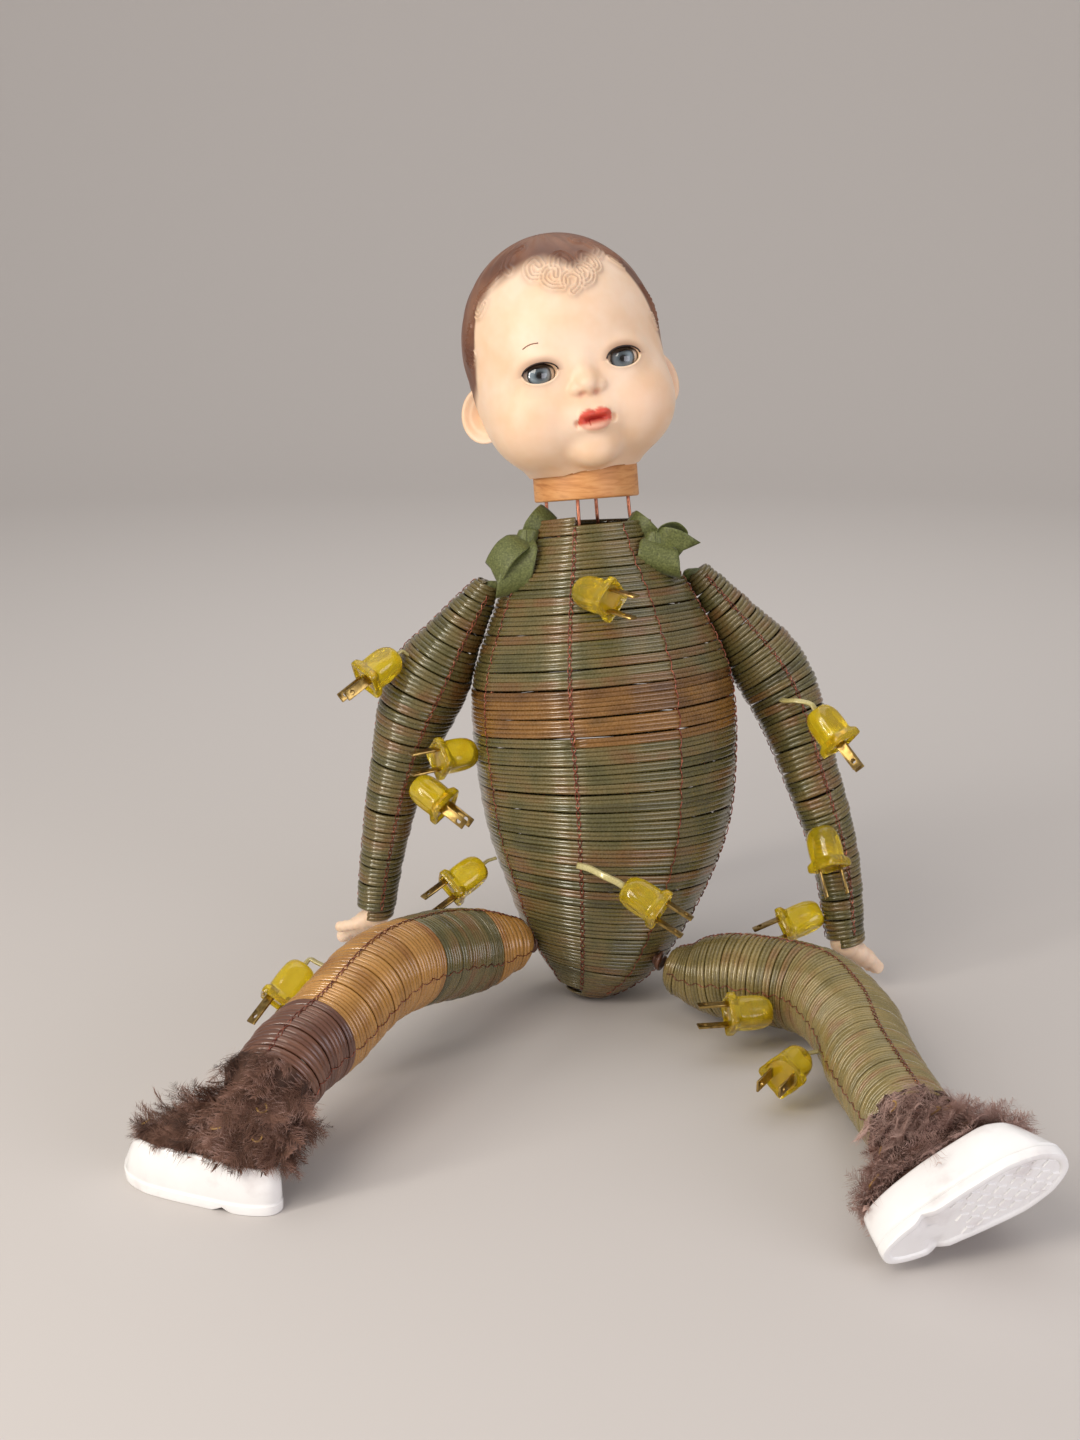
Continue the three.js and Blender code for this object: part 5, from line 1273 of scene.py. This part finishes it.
# Feather uppers: a mound painted dark as shade between the feathers, under short curled down
down, downShader = newMaterial("dyedMarabouDown", Roughness=0.85)
toneMap = addNode(down, "ShaderNodeUVMap", uv_map="CordRun")
tone = addNode(down, "ShaderNodeSeparateXYZ", {0: toneMap.outputs[0]})
place = addNode(down, "ShaderNodeTexCoord")
patch = addNode(down, "ShaderNodeTexNoise",
                {"Vector": place.outputs["Object"], "Scale": 90.0, "Detail": 3.0})
mixed = addNode(down, "ShaderNodeMath", {0: patch.outputs[0], 1: tone.outputs[0]}, operation="ADD")
halved = addNode(down, "ShaderNodeMath", {0: mixed.outputs[0], 1: 0.5}, operation="MULTIPLY")
tint = setStops(addNode(down, "ShaderNodeValToRGB", {0: halved.outputs[0]}),
                [(0.2, "#38231a"), (0.38, "#5e4031"), (0.55, "#835f50"), (0.8, "#b8998f")])
linkTo(down, tint.outputs[0], downShader, "Base Color")
quillHorn = newMaterial("goldenQuill", "#b08a4a", Roughness=0.35, IOR=1.5)[0]

featherSize = {"count": 440, "fringe": 80, "neck": 150, "long": (14, 26), "barbs": 38, "barbShare": 0.36,
               "ankleRadius": 21.0, "inset": 3.4, "bulge": 6.0, "curls": 9, "collar": 24.5, "lumps": 0.9}
rng = np.random.default_rng(11)


def featherBarbs(root, way, normal, length, curl, paintedLightLift):
    share = np.linspace(0, 1, 10)
    bend = np.cumsum(np.full(10, curl / 10))
    steps = np.outer(np.cos(bend), way) + np.outer(np.sin(bend), normal)
    quill = root + np.cumsum(steps, axis=0) * length / 10
    at = np.tile(np.linspace(0.06, 1.0, featherSize["barbs"]), 2)
    sign = np.repeat((-1.0, 1.0), featherSize["barbs"])
    base = np.stack([np.interp(at, share, quill[:, k]) for k in range(3)], axis=-1)
    forward = unit(np.stack([np.interp(at, share, steps[:, k]) for k in range(3)], axis=-1))
    sideways = np.cross(normal, way)
    full = featherSize["barbShare"] * length * (0.35 + np.sin(math.pi * np.clip(0.1 + at, 0, 1)) ** 0.8)
    reach = (full * rng.uniform(0.55, 1.2, len(at)))[:, None]
    out = unit(sign[:, None] * sideways + rng.uniform(0.3, 1.1, len(at))[:, None] * forward
               + rng.normal(0.05, 0.28, len(at))[:, None] * normal)
    sway = 0.45 * forward - 0.3 * normal + rng.normal(0, 0.4, (len(at), 3))
    first = base + 0.4 * reach * out
    second = first + 0.33 * reach * unit(out + 0.6 * sway)
    tip = second + 0.3 * reach * unit(out + 1.5 * sway)
    half = unit(np.cross(out, normal)) * 0.12
    points = np.stack([base - half, base + half, first - 0.9 * half, first + 0.9 * half,
                       second - 0.65 * half, second + 0.65 * half, tip], axis=1)
    # random tone per feather, plus the painted light lift
    lean = rng.uniform(-0.2, 0.5) + paintedLightLift
    tones = np.tile(np.array((0.05, 0.05, 0.2, 0.2, 0.42, 0.42, 0.7)), (len(at), 1)) + lean
    return points.reshape(-1, 3), tones.ravel()


def fromShoe(points, shoe):
    return points @ shoe["turn"].T + np.array(shoe["sole"])


for side, shoe in shoes.items():
    turn = shoe["turn"]
    legLine = forms["leg_" + side].line
    ankle = (legLine[-1] - np.array(shoe["sole"])) @ turn
    upLeg = unit((legLine[-4] - legLine[-1]) @ turn)
    foot = soleOutline(featherSize["inset"], 64)
    foot[:, 2] = shoeSize["wallFrom"] + 19.8 * rimScale(foot[:, 0])
    foot[:, 0] += shoeSize["shift"] - shoeSize["toeSlant"] * toeShare(foot[:, 0])
    around = fullTurn * np.arange(64) / 64
    disc = featherSize["ankleRadius"] * np.stack([np.cos(around), np.sin(around), 0 * around], axis=-1)
    middle = np.array((ankle[0], ankle[1], (30 + ankle[2]) / 2))
    rings = []
    for share in np.linspace(0, 1, 16):
        centre = 2 * share * (1 - share) * middle + share ** 2 * ankle
        blend = min(1.0, 1.5 * share)
        ring = foot * (1 - blend) * np.array((1, 1, 1 - share)) + blend * disc
        tilt = Vector((0, 0, 1)).rotation_difference(Vector(upLeg))
        tilt = np.array(Quaternion((1, 0, 0, 0)).slerp(tilt, share ** 2).to_matrix())
        ring = ring @ tilt.T + centre
        ring[:, 2] += featherSize["bulge"] * math.sin(math.pi * min(1.0, 1.6 * share)) * (1 - share)
        rings.append(ring)
    collar = disc * featherSize["collar"] / featherSize["ankleRadius"]
    rings[-1] = collar @ tilt.T + ankle + 4 * upLeg
    mound = np.array(rings)
    lumpy = mound + rng.normal(0, featherSize["lumps"], mound.shape)
    # the bare mound takes the darkest down tone: painted shade between the feathers
    base = loftRings("downMound", fromShoe(lumpy, shoe), np.full(len(mound), 0.05))
    faceOut(base)
    allPoints, allTones, curls = [], [], []
    for number in range(featherSize["count"]):
        row = 1 if number < featherSize["fringe"] else 1 + int(13 * rng.uniform(0, 1) ** 1.1)
        if number >= featherSize["count"] - featherSize["neck"]:
            row = 10 + number % 6
        column = rng.integers(64)
        spot = mound[row, column]
        downhill = unit(mound[row - 1, column] - spot)
        sideTangent = unit(mound[row, (column + 1) % 64] - mound[row, column - 1])
        normal = np.cross(sideTangent, -downhill)
        normal = normal * np.sign(np.dot(normal, spot - mound[row].mean(axis=0)) or 1.0)
        climb = -1.0 if row > 13 and number % 4 == 0 else 1.0
        way = unit(climb * downhill + rng.normal(0, 0.7) * sideTangent + rng.uniform(0.15, 0.9) * normal)
        normal = unit(normal - way * np.dot(normal, way))
        length = rng.uniform(*featherSize["long"]) * (0.6 if climb < 0 else 1.0)
        points, tones = featherBarbs(spot - (0.6 if row == 1 else 0.25) * length * way, way, normal, length,
                                     rng.uniform(-0.6, 1.1), shoe["paintedLightLift"])
        allPoints.append(points)
        allTones.append(tones)
        if number % (featherSize["count"] // featherSize["curls"]) == 0:
            bend = np.linspace(0, rng.uniform(2.5, 4.5), 14)
            loop = spot + 4 * normal + 2.6 * (np.outer(np.sin(bend), way)
                                              + np.outer(1 - np.cos(bend), sideTangent)
                                              + np.outer(0.25 * bend, normal))
            curls.append(loftRings("curl", tubeRings(fromShoe(loop, shoe), 0.5, 6)))
    points = np.concatenate(allPoints)
    share = np.clip(np.abs(points[:, 0] - shoeSize["shift"]) / (shoeSize["long"] / 2), 0, 1) ** (1 / 0.88)
    reach = (1 - share ** 2) ** 0.39 * np.interp(np.sign(points[:, 0]) * share, *soleHalf) + 1.5
    overWall = (np.abs(points[:, 1]) < reach) & (np.abs(points[:, 0]) < shoeSize["long"] / 2 + 1.5)
    rimTop = 0.6 + shoeSize["wallFrom"] + shoeSize["wallTall"] * rimScale(points[:, 0])
    # down lies on the rim
    points[:, 2] = np.where(overWall, np.maximum(points[:, 2], rimTop), points[:, 2])
    points = fromShoe(points, shoe)
    points[:, 2] = np.maximum(points[:, 2], 0.4)
    starts = np.arange(0, len(points), 7)
    quads = np.concatenate([starts[:, None] + np.array((0, 1, 3, 2)),
                            starts[:, None] + np.array((2, 3, 5, 4))])
    vanes = meshPiece("vanes", points, quads.tolist() + (starts[:, None] + np.array((4, 5, 6))).tolist())
    layer = vanes.data.uv_layers.new(name="CordRun")
    corners = np.empty(len(vanes.data.loops), dtype=np.int32)
    vanes.data.loops.foreach_get("vertex_index", corners)
    wrap = np.stack([np.concatenate(allTones)[corners], np.zeros(len(corners))], axis=-1)
    layer.data.foreach_set("uv", wrap.ravel())
    upper = joinPieces("featherUpper_" + side, [base, vanes])
    finishPiece(upper, down, "leg_" + side, "feather_upper_" + side)
    curlPiece = joinPieces("featherQuills_" + side, curls)
    faceOut(curlPiece)
    finishPiece(curlPiece, quillHorn, "leg_" + side)
print("shoes and feathers made")

# Pale floor swept up all round, and soft studio light
sweepSize = {"flat": 2.6, "curve": 1.4}
bend = np.linspace(0, math.pi / 2, 13)
profile = [(0.6, 0.0), (1.5, 0.0)] + [(sweepSize["flat"] + sweepSize["curve"] * math.sin(a),
                                       sweepSize["curve"] * (1 - math.cos(a))) for a in bend]
turnAngle = fullTurn * np.arange(96) / 96
sweepRings = np.stack([np.stack([radius * np.cos(turnAngle), radius * np.sin(turnAngle),
                                 np.full(96, height)], axis=-1) for radius, height in profile]) / mm
sweep = loftRings("paleSweep", sweepRings, None, "start")
sweep.data.materials.append(newMaterial("paleFloorPaper", "#d0cbc8", Roughness=0.85)[0])
lights = {"key": {"place": (-0.7, -1.15, 1.2), "size": 0.8, "power": 10, "warm": "#fff6ea"},
          "strip": {"place": (-1.3, -1.0, 0.6), "size": 0.17, "tall": 1.1, "power": 11.5,
                    "warm": "#fffaf2"},
          "wall": {"place": (0.2, 1.0, 2.3), "size": 1.6, "power": 26, "warm": "#f6f4f2",
                   "aim": (0, 4, 0.9)},
          "fill": {"place": (1.2, -1.3, 0.3), "size": 1.2, "power": 13, "warm": "#f6f4ff"},
          "top": {"place": (0.1, 0.3, 1.7), "size": 1.6, "power": 7, "warm": "#ffffff"}}
for name, light in lights.items():
    lamp = newPiece(bpy.ops.object.light_add, type="AREA", location=light["place"])
    lamp.name = name + "Light"
    lamp.data.energy = light["power"]
    lamp.data.size = light["size"]
    if "tall" in light:
        lamp.data.shape = "RECTANGLE"
        lamp.data.size_y = light["tall"]
    lamp.data.color = hexColour(light["warm"])[:3]
    aim = Vector(light.get("aim", (0, 0, 0.2))) - lamp.location
    lamp.rotation_euler = aim.to_track_quat("-Z", "Y").to_euler()
world = bpy.context.scene.world or bpy.data.worlds.new("studio")
bpy.context.scene.world = world
world.use_nodes = True
sky = world.node_tree.nodes["Background"]
sky.inputs["Color"].default_value = hexColour("#d9d4d0")
sky.inputs["Strength"].default_value = 0.55

bpy.context.scene.view_settings.view_transform = "Standard"  # white stays white
